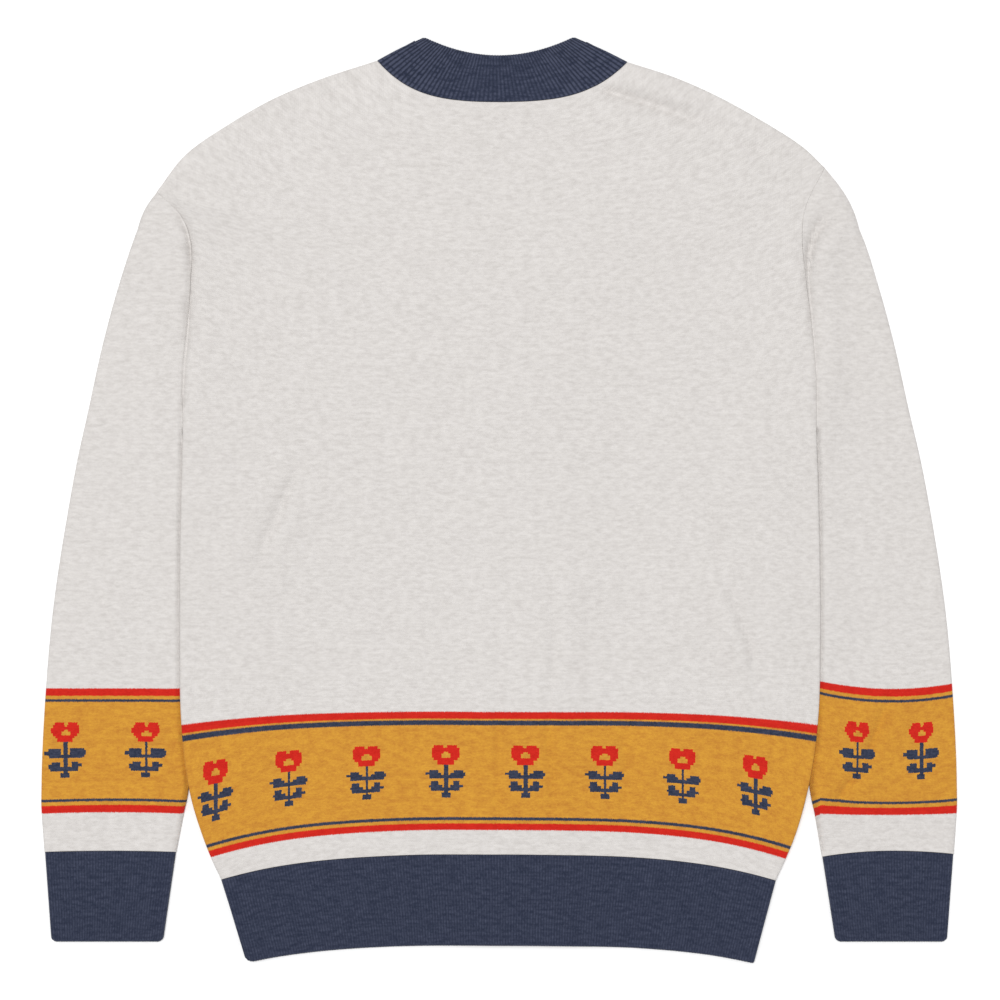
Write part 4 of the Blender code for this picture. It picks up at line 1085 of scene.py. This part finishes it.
def make_neckband(material):
    """The ribbed band along the back neck, which ends in a fold at each shoulder."""
    seam_row = shifted_row(BODY_ROWS[-1], NECK_SEAM_RISE)
    seam_x = np.linspace(seam_row.left_x, seam_row.right_x, NECK_POINTS)
    count = NECK_RIBS * NECK_RIB_COLUMNS
    seam = evenly_along(np.column_stack((seam_x, course_y(seam_row, seam_x))), count)
    length = NECK_DIP - seam_row.centre_y
    x, y, turns, way, to_end = rib_grid(seam.T, neck_free_edge(count).T, NECK_RIBS, length)
    for side, end in (("left", slice(0, 1)), ("right", slice(-1, None))):
        fold = shoulder_fold(side)[2]
        from_fold = np.hypot(x - x[:, end], y - y[:, end])
        bulge = NECK_FOLD_BULGE * hump(way) * np.exp(-from_fold / NECK_FOLD_REACH) * -BAND_SIGN[side]
        x, y = x + fold[1] * bulge, y - fold[0] * bulge
    from_centre = np.abs(turns / NECK_RIBS - 0.5) * 2
    relief = RIB_RELIEF * mix(1.0, NECK_RELIEF, ease(from_centre * 1.4 - 0.2))
    crest = rib_profile(turns, way, relief)
    pitch = np.abs(seam[-1, 0] - seam[0, 0]) / NECK_RIBS
    distance = np.minimum(turns, NECK_RIBS - turns) * pitch * mix(1.0, NECK_FREE_PITCH, way)
    upper, lower = back_heights(x, y, distance, 0.0, end_dip(way * length), crest)
    arch = NECK_ARCH * np.sin(math.pi * way) * ease(distance / RIB_END_FADE)
    heights = (lower + (upper - lower) * free_edge_share(to_end) + arch, lower)
    y = y + NECK_SCALLOP * rib_scallop(crest, relief, to_end)
    # painted shade in the rib valleys and painted light on the crests: full at the shoulders, where the
    # ribs are deepest
    painted_rib_shade = mix(NECK_PAINTED_SHADE_MIDDLE, 1.0, ease(from_centre * 1.5 - 0.25))
    return panel("neckband", x, y, heights, (turns * RIB_PITCH, way * length), material, painted_rib_shade)


def make_front_band(side, material):
    """A button band with ribs across it, from the hem to the shoulder fold."""
    places, squares = BAND_LINES[side]
    lengths = lengths_along(places)
    ribs, shares = rib_shares(lengths[-1], HIDDEN_RIB_COLUMNS)
    at = shares * lengths[-1]
    line, ways = (on_line(lengths, points, at) for points in (places, squares))
    near = np.array(RIB_NEAR_EDGE[:4])
    half = BAND_WIDTH / 2
    middle = np.linspace(near[-1] * 2 - half, half - near[-1] * 2, BAND_LINES_ACROSS)
    offsets = np.concatenate((near - half, middle, half - near[::-1]))[None, :]
    narrow = 1 - BAND_END_TAPER * ease(1 - (lengths[-1] - at) / BAND_END_REACH)[:, None]
    x, y = (line[:, axis:axis + 1] + ways[:, axis:axis + 1] * offsets * narrow for axis in (0, 1))
    turns = shares[:, None] * ribs + 0 * x
    valley = BAND_RELIEF * (1 - np.abs(np.sin(math.pi * turns)) ** RIB_ROUND)
    from_edge = np.minimum(half - np.abs(offsets), np.minimum(at, lengths[-1] - at)[:, None])
    thin = CLOTH / 2 * (1 - rounded(from_edge, FREE_EDGE_RADIUS, BAND_EDGE_SHARE))
    base = band_base(side, y)
    heights = (base + CLOTH - valley - thin, base + valley + thin)
    return panel("front_band_" + side, x, y, heights, (turns * RIB_PITCH, offsets + 0 * x), material)


# ---- sleeves and cuffs ------------------------------------------------------------------------------

def sleeve_shift(side, y):
    """How much farther out than in its table a sleeve lies at a height."""
    if side == "left":
        return 0.0
    return RIGHT_SLEEVE_SHIFT * ease((RIGHT_SHIFT_TOP - y) / RIGHT_SHIFT_RAMP)


def cuff_seam_fall(side, share):
    """How far a cuff's seam falls below its highest point, at a share of the way in."""
    bend = CUFF_SEAM_BENDS[side]
    outer = bend.outer * (np.maximum(0.0, bend.top - share) / bend.top) ** 2
    return outer + bend.inner * (np.maximum(0.0, share - bend.top) / (1 - bend.top)) ** 2


def sleeve_folds(side, seam):
    """A sleeve's outer and inner fold from the armhole to the cuff, and the rows where they are given."""
    keys = np.arange(len(SLEEVE_ROWS) + 1.0)
    near = np.array(NEAR_EDGE)
    starts, ends = near / SLEEVE_STARTS_OVER, keys[-1] - near[::-1] / SLEEVE_ENDS_OVER
    count = round((ends[0] - starts[-1]) * SLEEVE_LINES)
    at = np.concatenate((starts[:-1], np.linspace(starts[-1], ends[0], count + 1), ends[1:]))
    outer = on_curve(keys, [seam[0], *((row.outer_x, row.outer_y) for row in SLEEVE_ROWS)], at)
    inner = on_curve(keys, [seam[-1], *((row.inner_x, row.inner_y) for row in SLEEVE_ROWS)], at)
    outer = outer - (SHOULDER_BULGE[side] * hump(at))[:, None] * inwards(outer, 1)
    for line in (outer, inner):
        line[:, 0] += sleeve_shift(side, line[:, 1])
    return outer, inner, at


def sleeve_grid(side):
    """Places of a sleeve from the armhole to the cuff and from the outer fold to the inner one."""
    seam = ARMHOLES[side] * (-1 if side == "left" else 1, 1) + (ARMHOLE_GAP, 0.0)
    outer, inner, at = sleeve_folds(side, seam)
    squares = [row.square for row in (SLEEVE_ROWS[0], *SLEEVE_ROWS)]
    square = np.interp(at, np.arange(len(squares)), squares)
    reach = (square * np.linalg.norm(inner - outer, axis=1))[:, None]
    near = np.array(NEAR_EDGE) / SLEEVE_ACROSS
    middle = np.linspace(near[-1], 1 - near[-1], SLEEVE_COLUMNS + 2)[1:-1]
    shares = np.concatenate((near, middle, 1 - near[::-1]))
    curves = (outer, outer + reach * inwards(outer, 1), inner + reach * inwards(inner, -1), inner)
    straight = mix(outer[:, None, :], inner[:, None, :], shares[None, :, None])
    curved = bezier([points[:, None, :] for points in curves], shares[None, :])[0]
    places = mix(straight, curved, np.clip(square / max(squares), 0.0, 1.0)[:, None, None])
    lengths = lengths_along(seam)
    fade = np.clip(1 - at / ARMHOLE_FADE, 0.0, 1.0)[:, None, None] ** 2
    places = places + (on_line(lengths, seam, shares * lengths[-1]) - places[0])[None] * fade
    across = np.linalg.norm(places - places[:, :1], axis=-1)
    near_cuff = ease(1 - (places[..., 1] - places[-1:, :, 1]) / CUFF_SEAM_BEND_REACH)
    places[..., 1] -= cuff_seam_fall(side, across / across[:, -1:]) * near_cuff
    return places, outer, inner, at


def sleeve_cloth(side, x, y):
    """The cloth's own coordinates on the upper layer of a sleeve."""
    if side == "left":
        share = np.clip((x - LEFT_ARCH_X) / LEFT_ARCH_WIDTH, 0.0, 1.0)
        arch = LEFT_COURSE_ARCH * ease((LEFT_ARCH_TOP - y) / LEFT_ARCH_RAMP)
        return -x, y + arch * (0.5 - 4 * share * (1 - share))
    keys, *columns = zip(*RIGHT_COURSE_BENDS)
    rise, slope, curve = (np.interp(y, keys, column) for column in columns)
    t = (x - RIGHT_COURSE_MIDDLE) / RIGHT_COURSE_HALF
    kink = KINK_RISE * np.maximum(0.0, (KINK_X - x) / KINK_WIDTH)
    kink = kink * ease((KINK_TOP - y) / KINK_RAMP)
    return x / RIGHT_SLEEVE_SQUEEZE, y + rise + slope * t + curve * t * t + kink


def make_sleeve(side, material):
    """A sleeve: one piece of knit closed along the underarm, flattened, and open at both ends."""
    places, outer, inner, at = sleeve_grid(side)
    x, y = places[..., 0], places[..., 1]
    world_x = -x if side == "left" else x
    to_outer, to_inner = (np.abs(place_on_line(x, y, line)[0]) for line in (outer, inner))
    to_outer[:, 0] = 0.0
    to_inner[:, -1] = 0.0
    distance = np.minimum(to_outer, to_inner)
    from_underarm = np.hypot(x - inner[0, 0], y - inner[0, 1])
    tight = mix(1.0, UNDERARM_TIGHT, np.exp(-(from_underarm / UNDERARM_TIGHT_REACH) ** 2))
    share = rounded(distance, FOLD_RADIUS * tight, 0.0)
    seam_gap = np.abs(place_on_line(world_x, y, ARMHOLES[side])[0])
    end_gap = np.linalg.norm(places - places[-1:], axis=-1)
    welt = WELT_DEPTH * np.exp(-((seam_gap - WELT) / WELT_WIDTH) ** 2)
    at_armhole = (1 - rounded(seam_gap, ARMHOLE_RADIUS, ARMHOLE_EDGE)) * CLOTH
    dip = (np.maximum(at_armhole, end_dip(end_gap)) + welt) * ease(distance / TUBE_DIP_FADE)
    free = ease((out_from_body(side, world_x, y) - FREE_GAP) / FREE_RAMP)
    free = np.maximum(underarm_join(y), free)
    swell, valley = (height * free for height in valleys(world_x, y))
    small = creased(x, y, SLEEVE_CREASES[side]) + waves(world_x, y)
    small = small * ease(distance / TUBE_CREASE_FADE) * free
    lift = small + (sleeve_rise(side, world_x, y) + swell) * ease(distance / (TUBE_RISE_FADE * tight))
    upper = MIDDLE + STACK / 2 * share + lift - (np.minimum(dip, DEEPEST) + valley) * share
    under = np.minimum(CREASE_UNDER * small, CREASE_UNDER_MOST)
    lower = MIDDLE - STACK / 2 * share + under * share
    towards = np.where((to_outer < to_inner)[..., None], inwards(outer, 1)[:, None, :],
                       inwards(inner, -1)[:, None, :])
    wall = CLOTH * np.maximum(0.0, 1 - distance / FOLD_WALL_REACH) * ease(at / FOLD_WALL_START)[:, None]
    inside = places + wall[..., None] * towards
    in_upper = MIDDLE + HOLLOW / 2 * share + lift - VALLEY_UNDER * valley
    in_upper = np.minimum(in_upper, upper - THINNEST_TUBE * share)
    in_upper = np.maximum(in_upper, mix(MIDDLE, upper, SLIGHT))
    in_lower = MIDDLE - HOLLOW / 2 * share + np.minimum(CREASE_INSIDE * small, CREASE_INSIDE_MOST)
    in_lower = np.minimum(in_lower, in_upper - SLIGHT * share)
    u, v = sleeve_cloth(side, x, y)
    walls = ((x, y, upper, lower), (inside[..., 0], inside[..., 1], in_upper, in_lower))
    return flat_tube("sleeve_" + side, side, walls, u, 2 * u[:, :1] - u, v, material)


def make_cuff(side, material):
    """A ribbed cuff: a flattened tube."""
    ribs, shares = rib_shares(CUFF_TOP.outer_x - CUFF_TOP.inner_x, RIB_COLUMNS)
    length = CUFF_TOP.y - CUFF_BOTTOM.y
    seam_x, free_x = (mix(end.outer_x, end.inner_x, shares) + sleeve_shift(side, end.y)
                      for end in (CUFF_TOP, CUFF_BOTTOM))
    seam_y = SLEEVE_ROWS[-1].outer_y - SEAM - cuff_seam_fall(side, shares)
    free_y = CUFF_BOTTOM.y + corner_rise(np.minimum(free_x[0] - free_x, free_x - free_x[-1]))
    x, y, turns, way, to_end = rib_grid((seam_x, seam_y), (free_x, free_y), ribs, length)
    distance = np.minimum(x[:, :1] - x, x - x[:, -1:])
    share = rounded(distance, FOLD_RADIUS, 0.0)
    crest = rib_profile(turns, way, RIB_RELIEF)
    under = RIB_RISE - crest
    thin = 1 - (1 - free_edge_share(to_end)) * ease(distance / TUBE_DIP_FADE)
    dip = end_dip(way * length) * ease(distance / TUBE_DIP_FADE)
    lift = creased(x, y, CUFF_CREASES[side]) * ease(distance / RIB_END_FADE)
    upper = MIDDLE + (STACK / 2 + crest) * share * thin - dip + lift
    lower = MIDDLE - (STACK / 2 - HIDDEN_RELIEF * under) * share * thin + dip
    wall = CLOTH * np.maximum(0.0, 1 - distance / FOLD_WALL_REACH)
    inside_x = x + wall * np.where(shares < 0.5, -1.0, 1.0)
    outer_y = y - rib_scallop(crest, RIB_RELIEF, to_end) * ease(distance / RIB_SCALLOP_FADE)
    outer_x = x + rib_wander(turns, way) * ease(distance / RIB_END_FADE)
    in_upper = MIDDLE + (HOLLOW / 2 + CREASE_UNDER * lift) * share
    in_lower = MIDDLE - HOLLOW / 2 * share
    walls = ((outer_x, outer_y, upper, lower), (inside_x, y, in_upper, in_lower))
    u = turns * RIB_PITCH
    return flat_tube("cuff_" + side, side, walls, u, -u, -way * length, material)


# ---- buttons ----------------------------------------------------------------------------------------

BUTTON_STEPS = 48
# Radius and height over the surface of the points round a button's section, which lies face down
BUTTON_PROFILE = ((0.0, 2.05), (6.5, 2.1), (8.2, 1.95), (8.85, 1.45), (9.0, 0.95), (8.75, 0.4),
                  (8.2, 0.1), (7.6, 0.0), (7.1, 0.15), (6.6, 0.5), (6.0, 0.62), (0.0, 0.62))
HOLE_RADIUS = 1.0
HOLE_OFFSET = 1.75
HOLE_PLACES = (-HOLE_OFFSET, HOLE_OFFSET)
HOLE_SIDES = 16
THREAD_RADIUS = 0.42
THREAD_SIDES = 8
THREAD_STEPS = 10
THREAD_END = 1.45           # height of a stitch inside its holes
THREAD_RISE = 0.95          # and how much nearer to the surface its middle is
MERGE = 0.00001             # in metres


def button_body():
    """A turned button with four holes."""
    bm = bmesh.new()
    points = [bm.verts.new((radius * MM, 0.0, height * MM)) for radius, height in BUTTON_PROFILE]
    edges = [bm.edges.new(pair) for pair in zip(points, points[1:])]
    bmesh.ops.spin(bm, geom=points + edges, cent=(0, 0, 0), axis=(0, 0, 1), angle=2 * math.pi,
                   steps=BUTTON_STEPS, use_merge=True)
    bmesh.ops.remove_doubles(bm, verts=bm.verts, dist=MERGE)
    body = add_object("button_body", mesh_of("button_body", bm))
    cutters = bmesh.new()
    for across in HOLE_PLACES:
        for along in HOLE_PLACES:
            made = bmesh.ops.create_cone(cutters, cap_ends=True, segments=HOLE_SIDES, depth=8 * MM,
                                         radius1=HOLE_RADIUS * MM, radius2=HOLE_RADIUS * MM)
            bmesh.ops.translate(cutters, verts=made["verts"], vec=(across * MM, along * MM, 0.0))
    cutter = add_object("holes", mesh_of("holes", cutters))
    cut = body.modifiers.new("Holes", "BOOLEAN")
    cut.object = cutter
    cut.operation = "DIFFERENCE"
    holed = bpy.data.meshes.new_from_object(body.evaluated_get(bpy.context.evaluated_depsgraph_get()))
    for item in (body, cutter):
        bpy.data.objects.remove(item, do_unlink=True)
    return holed


def add_stitch(bm, across):
    """A stitch of thread between two holes, as an arch that shows on the button's face."""
    rings = []
    for count in range(THREAD_STEPS + 1):
        share = count / THREAD_STEPS
        along = mix(*HOLE_PLACES, share)
        height = THREAD_END - THREAD_RISE * math.sin(math.pi * share) ** 0.5
        ring = []
        for index in range(THREAD_SIDES):
            angle = 2 * math.pi * index / THREAD_SIDES
            ring.append(bm.verts.new(((across + THREAD_RADIUS * math.cos(angle)) * MM, along * MM,
                                      (height + THREAD_RADIUS * math.sin(angle)) * MM)))
        rings.append(ring)
    for ring, following in zip(rings, rings[1:]):
        for near in range(THREAD_SIDES):
            far = (near + 1) % THREAD_SIDES
            bm.faces.new((ring[near], ring[far], following[far], following[near]))
    bm.faces.new(rings[0][::-1])
    bm.faces.new(rings[-1])


def thread_mesh():
    """Two stitches side by side across each pair of holes."""
    bm = bmesh.new()
    for across in HOLE_PLACES:
        for shift in (-THREAD_RADIUS, THREAD_RADIUS):
            add_stitch(bm, across + shift)
    return mesh_of("button_thread", bm)


def make_buttons(material, thread):
    """The buttons on the outside of the left band, which lies over the right one."""
    body, stitches = button_body(), thread_mesh()
    for mesh, finish in ((body, material), (stitches, thread)):
        mesh.materials.clear()
        mesh.materials.append(finish)
        mesh.shade_smooth()
    body.set_sharp_from_angle(angle=math.radians(55))
    for number in range(1, BUTTON_COUNT + 1):
        button = add_object("button_{}_turned".format(number), body.copy())
        sewing = add_object("button_{}_thread".format(number), stitches.copy())
        for item in (button, sewing):
            item.location = (BAND_X * MM, (BUTTON_TOP_Y - (number - 1) * BUTTON_SPACING) * MM, 0.0)
            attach(item, "root")
        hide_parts("button_{}".format(number))


# ---- materials --------------------------------------------------------------------------------------

def step(operation, turned=False):
    """A method that writes one node of arithmetic. Turned puts the other value first."""
    def write(value, *others):
        made = value.sums.node("ShaderNodeMath", operation=operation)
        for socket, given in zip(made.inputs, (*others, value) if turned else (value, *others)):
            value.sums.feed(socket, given)
        return Value(value.sums, made.outputs[0])
    return write


class Value:
    """A node's output. Arithmetic on it writes the nodes that do it."""

    def __init__(self, sums, socket):
        self.sums = sums
        self.socket = socket

    __add__ = step("ADD")
    __sub__ = step("SUBTRACT")
    __rsub__ = step("SUBTRACT", turned=True)
    __mul__ = step("MULTIPLY")
    __truediv__ = step("DIVIDE")
    __mod__ = step("FLOORED_MODULO")
    __pow__ = step("POWER")
    __abs__ = step("ABSOLUTE")
    floor = step("FLOOR")
    fract = step("FRACT")
    sine = step("SINE")
    most = step("MAXIMUM")
    compare = step("COMPARE")

    def within(self, low, high):
        """1 where the value lies from low to high, and else 0."""
        return self.compare((low + high) / 2, (high - low) / 2)

    def soft_within(self, low, high, soft):
        """1 where the value lies from low to high, and falling to 0 over a soft edge."""
        return self.ramp(low - soft, low + soft) * self.ramp(high + soft, high - soft)

    def ramp(self, low, high):
        """0 up to low, 1 from high on, and smooth between."""
        made = self.sums.node("ShaderNodeMapRange", interpolation_type="SMOOTHSTEP")
        for name, given in (("Value", self), ("From Min", low), ("From Max", high)):
            self.sums.feed(made.inputs[name], given)
        return Value(self.sums, made.outputs["Result"])


class Sums:
    """A new material, and what writes its nodes."""

    def __init__(self, name):
        self.material = bpy.data.materials.new(name)
        self.material.use_nodes = True
        self.tree = self.material.node_tree
        self.shader = self.tree.nodes["Principled BSDF"]

    def node(self, kind, **settings):
        """A new node with its settings."""
        made = self.tree.nodes.new(kind)
        for name, value in settings.items():
            setattr(made, name, value)
        return made

    def feed(self, socket, value):
        """Set a socket to a number or a colour, or link another node's output to it."""
        if isinstance(value, Value):
            self.tree.links.new(value.socket, socket)
        else:
            socket.default_value = value

    def shade(self, **values):
        """Set or link sockets of the shader, whose names have a line for each space."""
        for name, value in values.items():
            self.feed(self.shader.inputs[name.replace("_", " ")], value)

    def blend(self, share, start, end):
        """The colour a share of the way from start to end."""
        made = self.node("ShaderNodeMix", data_type="RGBA")
        colours = [socket for socket in made.inputs if socket.type == "RGBA"]
        self.feed(made.inputs["Factor"], share)
        for socket, value in zip(colours, (start, end)):
            self.feed(socket, (*value, 1.0) if isinstance(value, tuple) else value)
        return Value(self, [socket for socket in made.outputs if socket.type == "RGBA"][0])

    def coordinate(self, kind, output, **settings):
        """An output of a node that says where on the surface a point is."""
        return Value(self, self.node(kind, **settings).outputs[output])

    def cloth(self):
        """The cloth's own coordinates, across and along, in millimetres, and the share of painted shade
        on its ribs.
        """
        place = self.coordinate("ShaderNodeAttribute", "Vector", attribute_name="cloth")
        parts = self.node("ShaderNodeSeparateXYZ")
        self.feed(parts.inputs[0], place)
        return (Value(self, output) for output in parts.outputs)

    def texture(self, kind, place, scale, **settings):
        """A soft texture from 0 to 1."""
        detail = settings.pop("detail", None)
        made = self.node(kind, **settings)
        self.feed(made.inputs["Vector"], place)
        self.feed(made.inputs["Scale"], scale)
        if detail is not None:
            self.feed(made.inputs["Detail"], detail)
        return Value(self, made.outputs["Fac"])

    def noise(self, u, v, across, along, seed, detail=2.0):
        """Soft noise from 0 to 1 whose patches are so many millimetres across and along the cloth."""
        place = self.node("ShaderNodeCombineXYZ")
        for socket, value in zip(place.inputs, (u / across, v / along, seed)):
            self.feed(socket, value)
        return self.texture("ShaderNodeTexNoise", Value(self, place.outputs[0]), 1.0, detail=detail)


def finish_cloth(sums, colour, u, v, stitch, seed, depth, roughness, sheen):
    """Wire the colour, the stitches' relief and the fuzz on them into the shader.

    Plain knit stitches are two legs that lean together in each loop.
    """
    from_middle = abs((u / stitch[0]).fract() - 0.5)
    loop = ((v / stitch[1] + from_middle).fract() * math.pi).sine()
    legs = (from_middle * (2 * math.pi)).sine()
    height = (legs * 0.7 + 0.3) * loop + sums.noise(u, v, 0.8, 0.6, seed + 13.0) * 0.6
    bump = sums.node("ShaderNodeBump")
    for name, value in (("Strength", 0.6), ("Distance", depth * MM), ("Height", height)):
        sums.feed(bump.inputs[name], value)
    sums.shade(Base_Color=colour, Normal=Value(sums, bump.outputs["Normal"]), Roughness=roughness,
               Specular_IOR_Level=0.2, Sheen_Weight=sheen, Sheen_Roughness=0.6)


def inside(boxes, across, down):
    """1 inside any of a flower's boxes, and else 0."""
    total = None
    for box in boxes:
        mask = across.within(box.left, box.right) * down.within(box.top, box.bottom)
        total = total.most(mask) if total else mask
    return total


def with_flowers(sums, colour, colours, shapes, row, u, v):
    """A colour with a row of flowers on it."""
    turned = (u - row.first) / row.pitch + 0.5
    across = (turned.fract() - 0.5) * row.pitch
    slender = (turned.floor() % 4.0).within(0.9, 2.1)
    down = row.head_top - v
    stem = inside(shapes["stem"], across * (slender * (SLENDER_STEM - 1) + 1.0), down)
    eye_across = across * (1.0 - slender * (1 - SLENDER_EYE))
    eye = inside(shapes["eye"], eye_across, down - slender * SLENDER_EYE_DROP)
    colour = sums.blend(inside(shapes["leaves"], across, down).most(stem), colour, colours["navy"])
    colour = sums.blend(inside(shapes["head"], across, down), colour, colours["red"])
    return sums.blend(eye, colour, colours["mustard"])


# Patches of fibre: their size across and along the cloth, what their seed adds, their detail, and
# the noise at which they start and are full
Fibre = namedtuple("Fibre", "across along seed detail low high")
FIBRES = {
    "streak": Fibre(6.4, 2.4, 0.0, 3.0, 0.34, 0.72),
    "mottle": Fibre(9.0, 4.8, 3.0, 3.0, 0.34, 0.68),
    "speck": Fibre(2.2, 1.3, 5.0, 2.0, 0.32, 0.70),
    "patch": Fibre(34.0, 22.0, 9.0, 2.0, 0.30, 0.70),
    "rib_fleck": Fibre(1.5, 2.4, 0.0, 3.0, 0.36, 0.72),
    "rib_patch": Fibre(11.0, 2.4, 4.0, 3.0, 0.34, 0.66),
}
HEATHER = {
    "cream": {"streak": 0.42, "mottle": 0.27, "speck": 0.18, "patch": 0.08},
    "mustard": {"streak": 0.26, "mottle": 0.38, "speck": 0.34, "patch": 0.12},
    "red": {"mottle": 0.40, "speck": 0.50},
    "navy": {"mottle": 0.30, "speck": 0.50},
}


def fibre(sums, u, v, name, seed):
    """Where one kind of patch lies on the cloth, from 0 to 1."""
    kind = FIBRES[name]
    noise = sums.noise(u, v, kind.across, kind.along, seed + kind.seed, kind.detail)
    return noise.ramp(kind.low, kind.high)


def knit_material(name, stripes, shapes, row, seed):
    """Fine heathered knit with its striped and flowered border."""
    sums = Sums(name)
    u, v, _ = sums.cloth()
    # the edges of a colour follow the legs of the stitches and the yarn's own unevenness
    leg = abs((u / STITCH_WIDTH).fract() - 0.5)
    stray = sums.noise(u, v, 1.6, 1.3, seed + 7.0) - 0.5
    v_edge = v + (leg * 0.5 + stray * 1.3)
    u_edge = u + (sums.noise(u, v, 1.3, 1.6, seed + 11.0) - 0.5) * 1.5
    fibres = {kind: fibre(sums, u, v, kind, seed) for kind in HEATHER["cream"]}
    colours = {}
    for yarn, weights in HEATHER.items():
        share = None
        for kind, weight in weights.items():
            part = fibres[kind] * weight
            share = share + part if share else part
        colours[yarn] = sums.blend(share, YARNS[yarn].colour, YARNS[yarn].fleck)
    colour = colours["cream"]
    for stripe in stripes:
        band = v_edge.soft_within(stripe.low, stripe.high, STRIPE_EDGE)
        colour = sums.blend(band, colour, colours[stripe.colour])
    colour = with_flowers(sums, colour, colours, shapes, row, u_edge, v_edge)
    finish_cloth(sums, colour, u, v, (STITCH_WIDTH, STITCH_HEIGHT), seed, 0.35, 0.90, 0.05)
    return sums.material


def rib_material(name, seed):
    """Navy heathered rib: stitches along each crest, with lighter fibre and darker patches. Its valleys
    carry painted shade and its crests painted light.
    """
    sums = Sums(name)
    u, v, painted_rib_shade = sums.cloth()
    crest = ((u / RIB_PITCH).fract() * math.pi).sine()
    # more lighter fibre on the crests than in the valleys: partly the heather's own, partly painted light
    # on the crests and painted shade in the valleys; the second term paints the neckband's deep ribs more
    # strongly
    fleck_and_painted_crest_light = (crest * 0.60 + 0.32) * (1.0 - painted_rib_shade) + crest ** 1.8 * 2.4 * painted_rib_shade
    fleck, patch = (fibre(sums, u, v, kind, seed) for kind in ("rib_fleck", "rib_patch"))
    colour = sums.blend(fleck_and_painted_crest_light * (fleck * 0.58 + patch * 0.48), *YARNS["navy"])
    finish_cloth(sums, colour, u, v, (RIB_PITCH, RIB_STITCH_HEIGHT), seed, 0.4, 0.88, 0.08)
    return sums.material


def button_material():
    """Dark navy resin with faint clouds."""
    sums = Sums("button_resin")
    place = sums.coordinate("ShaderNodeTexCoord", "Object")
    noise = sums.texture("ShaderNodeTexNoise", place, 260.0, detail=4.0)
    lighter = tuple(2.2 * value for value in BUTTON_COLOUR)
    sums.shade(Base_Color=sums.blend(noise.ramp(0.40, 0.72), BUTTON_COLOUR, lighter),
               Roughness=noise * 0.14 + 0.28)
    return sums.material


def thread_material():
    """Twisted sewing thread."""
    sums = Sums("button_thread")
    place = sums.coordinate("ShaderNodeTexCoord", "Object")
    twist = sums.texture("ShaderNodeTexWave", place, 900.0, bands_direction="DIAGONAL")
    darker = tuple(0.5 * value for value in THREAD_COLOUR)
    sums.shade(Base_Color=sums.blend(twist, darker, THREAD_COLOUR), Roughness=0.7)
    return sums.material


# ---- camera, floor and light ------------------------------------------------------------------------

CAMERA_LENS = 100.0
FRAME_WIDTH = 784.0         # the photograph's width on the garment
CAMERA_X = 1.2              # the photograph's middle, from the garment's own
CAMERA_Y = 0.6
SENSOR_WIDTH = 36.0
FLOOR_SIZE = 6.0
FLOOR_DROP = 0.0003         # of the floor under what lies on it
WORLD_STRENGTH = 0.48
KEY_POWER = 281.0
KEY_PLACE = (-0.45, 0.7, 6.15)
KEY_SIZE = 2.2


def make_camera():
    """A camera straight above the garment."""
    data = bpy.data.cameras.new("camera")
    data.lens = CAMERA_LENS
    data.sensor_width = SENSOR_WIDTH
    data.clip_start = 0.1
    camera = add_object("camera", data)
    above = FRAME_WIDTH * CAMERA_LENS / SENSOR_WIDTH
    camera.location = (CAMERA_X * MM, CAMERA_Y * MM, (above + STACK) * MM)
    bpy.context.scene.camera = camera


def make_floor():
    """A plain pale floor under the garment."""
    mesh = bpy.data.meshes.new("floor")
    half = FLOOR_SIZE / 2
    corners = ((-half, -half, 0.0), (half, -half, 0.0), (half, half, 0.0), (-half, half, 0.0))
    mesh.from_pydata(corners, [], [(0, 1, 2, 3)])
    sums = Sums("floor_paper")
    sums.shade(Base_Color=(*FLOOR_COLOUR, 1.0), Roughness=0.9)
    mesh.materials.append(sums.material)
    floor = add_object("floor", mesh)
    floor.location = (0.0, 0.0, -FLOOR_DROP)


def make_light():
    """Even light from all round, and a broad soft lamp from the upper left."""
    world = bpy.data.worlds.new("studio")
    world.use_nodes = True
    background = world.node_tree.nodes["Background"]
    background.inputs["Color"].default_value = (1.0, 1.0, 1.0, 1.0)
    background.inputs["Strength"].default_value = WORLD_STRENGTH
    bpy.context.scene.world = world
    lamp = bpy.data.lights.new("key", "AREA")
    lamp.energy = KEY_POWER
    lamp.size = KEY_SIZE
    key = add_object("key", lamp)
    key.location = KEY_PLACE
    key.rotation_euler = (-Vector(KEY_PLACE)).to_track_quat("-Z", "Y").to_euler()
    bpy.context.scene.view_settings.view_transform = "Standard"


# ---- the cardigan -----------------------------------------------------------------------------------


def main():
    """Make every piece, the floor, the light and the camera."""
    make_camera()
    knit = knit_material("back_knit", BODY_STRIPES, BODY_FLOWER, BODY_FLOWERS, 1.0)
    make_back(knit)
    hem_back = make_hem_back(rib_material("hem_back_rib", 21.0))
    neckband = make_neckband(rib_material("neckband_rib", 33.0))
    front_knit = knit_material("front_knit", BODY_STRIPES, BODY_FLOWER, BODY_FLOWERS, 51.0)
    sleeves = {"left": (LEFT_SLEEVE_FLOWERS, 81.0), "right": (RIGHT_SLEEVE_FLOWERS, 95.0)}
    for side in BAND_SIGN:
        make_front(side, front_knit)
        hem = make_hem_front(side, rib_material("hem_front_{}_rib".format(side), 61.0))
        band = make_front_band(side, rib_material("front_band_{}_rib".format(side), 71.0))
        knit = knit_material("sleeve_{}_knit".format(side), SLEEVE_STRIPES, SLEEVE_FLOWER, *sleeves[side])
        make_sleeve(side, knit)
        cuff = make_cuff(side, rib_material("cuff_{}_rib".format(side), 101.0))
    make_buttons(button_material(), thread_material())
    make_floor()
    make_light()


main()
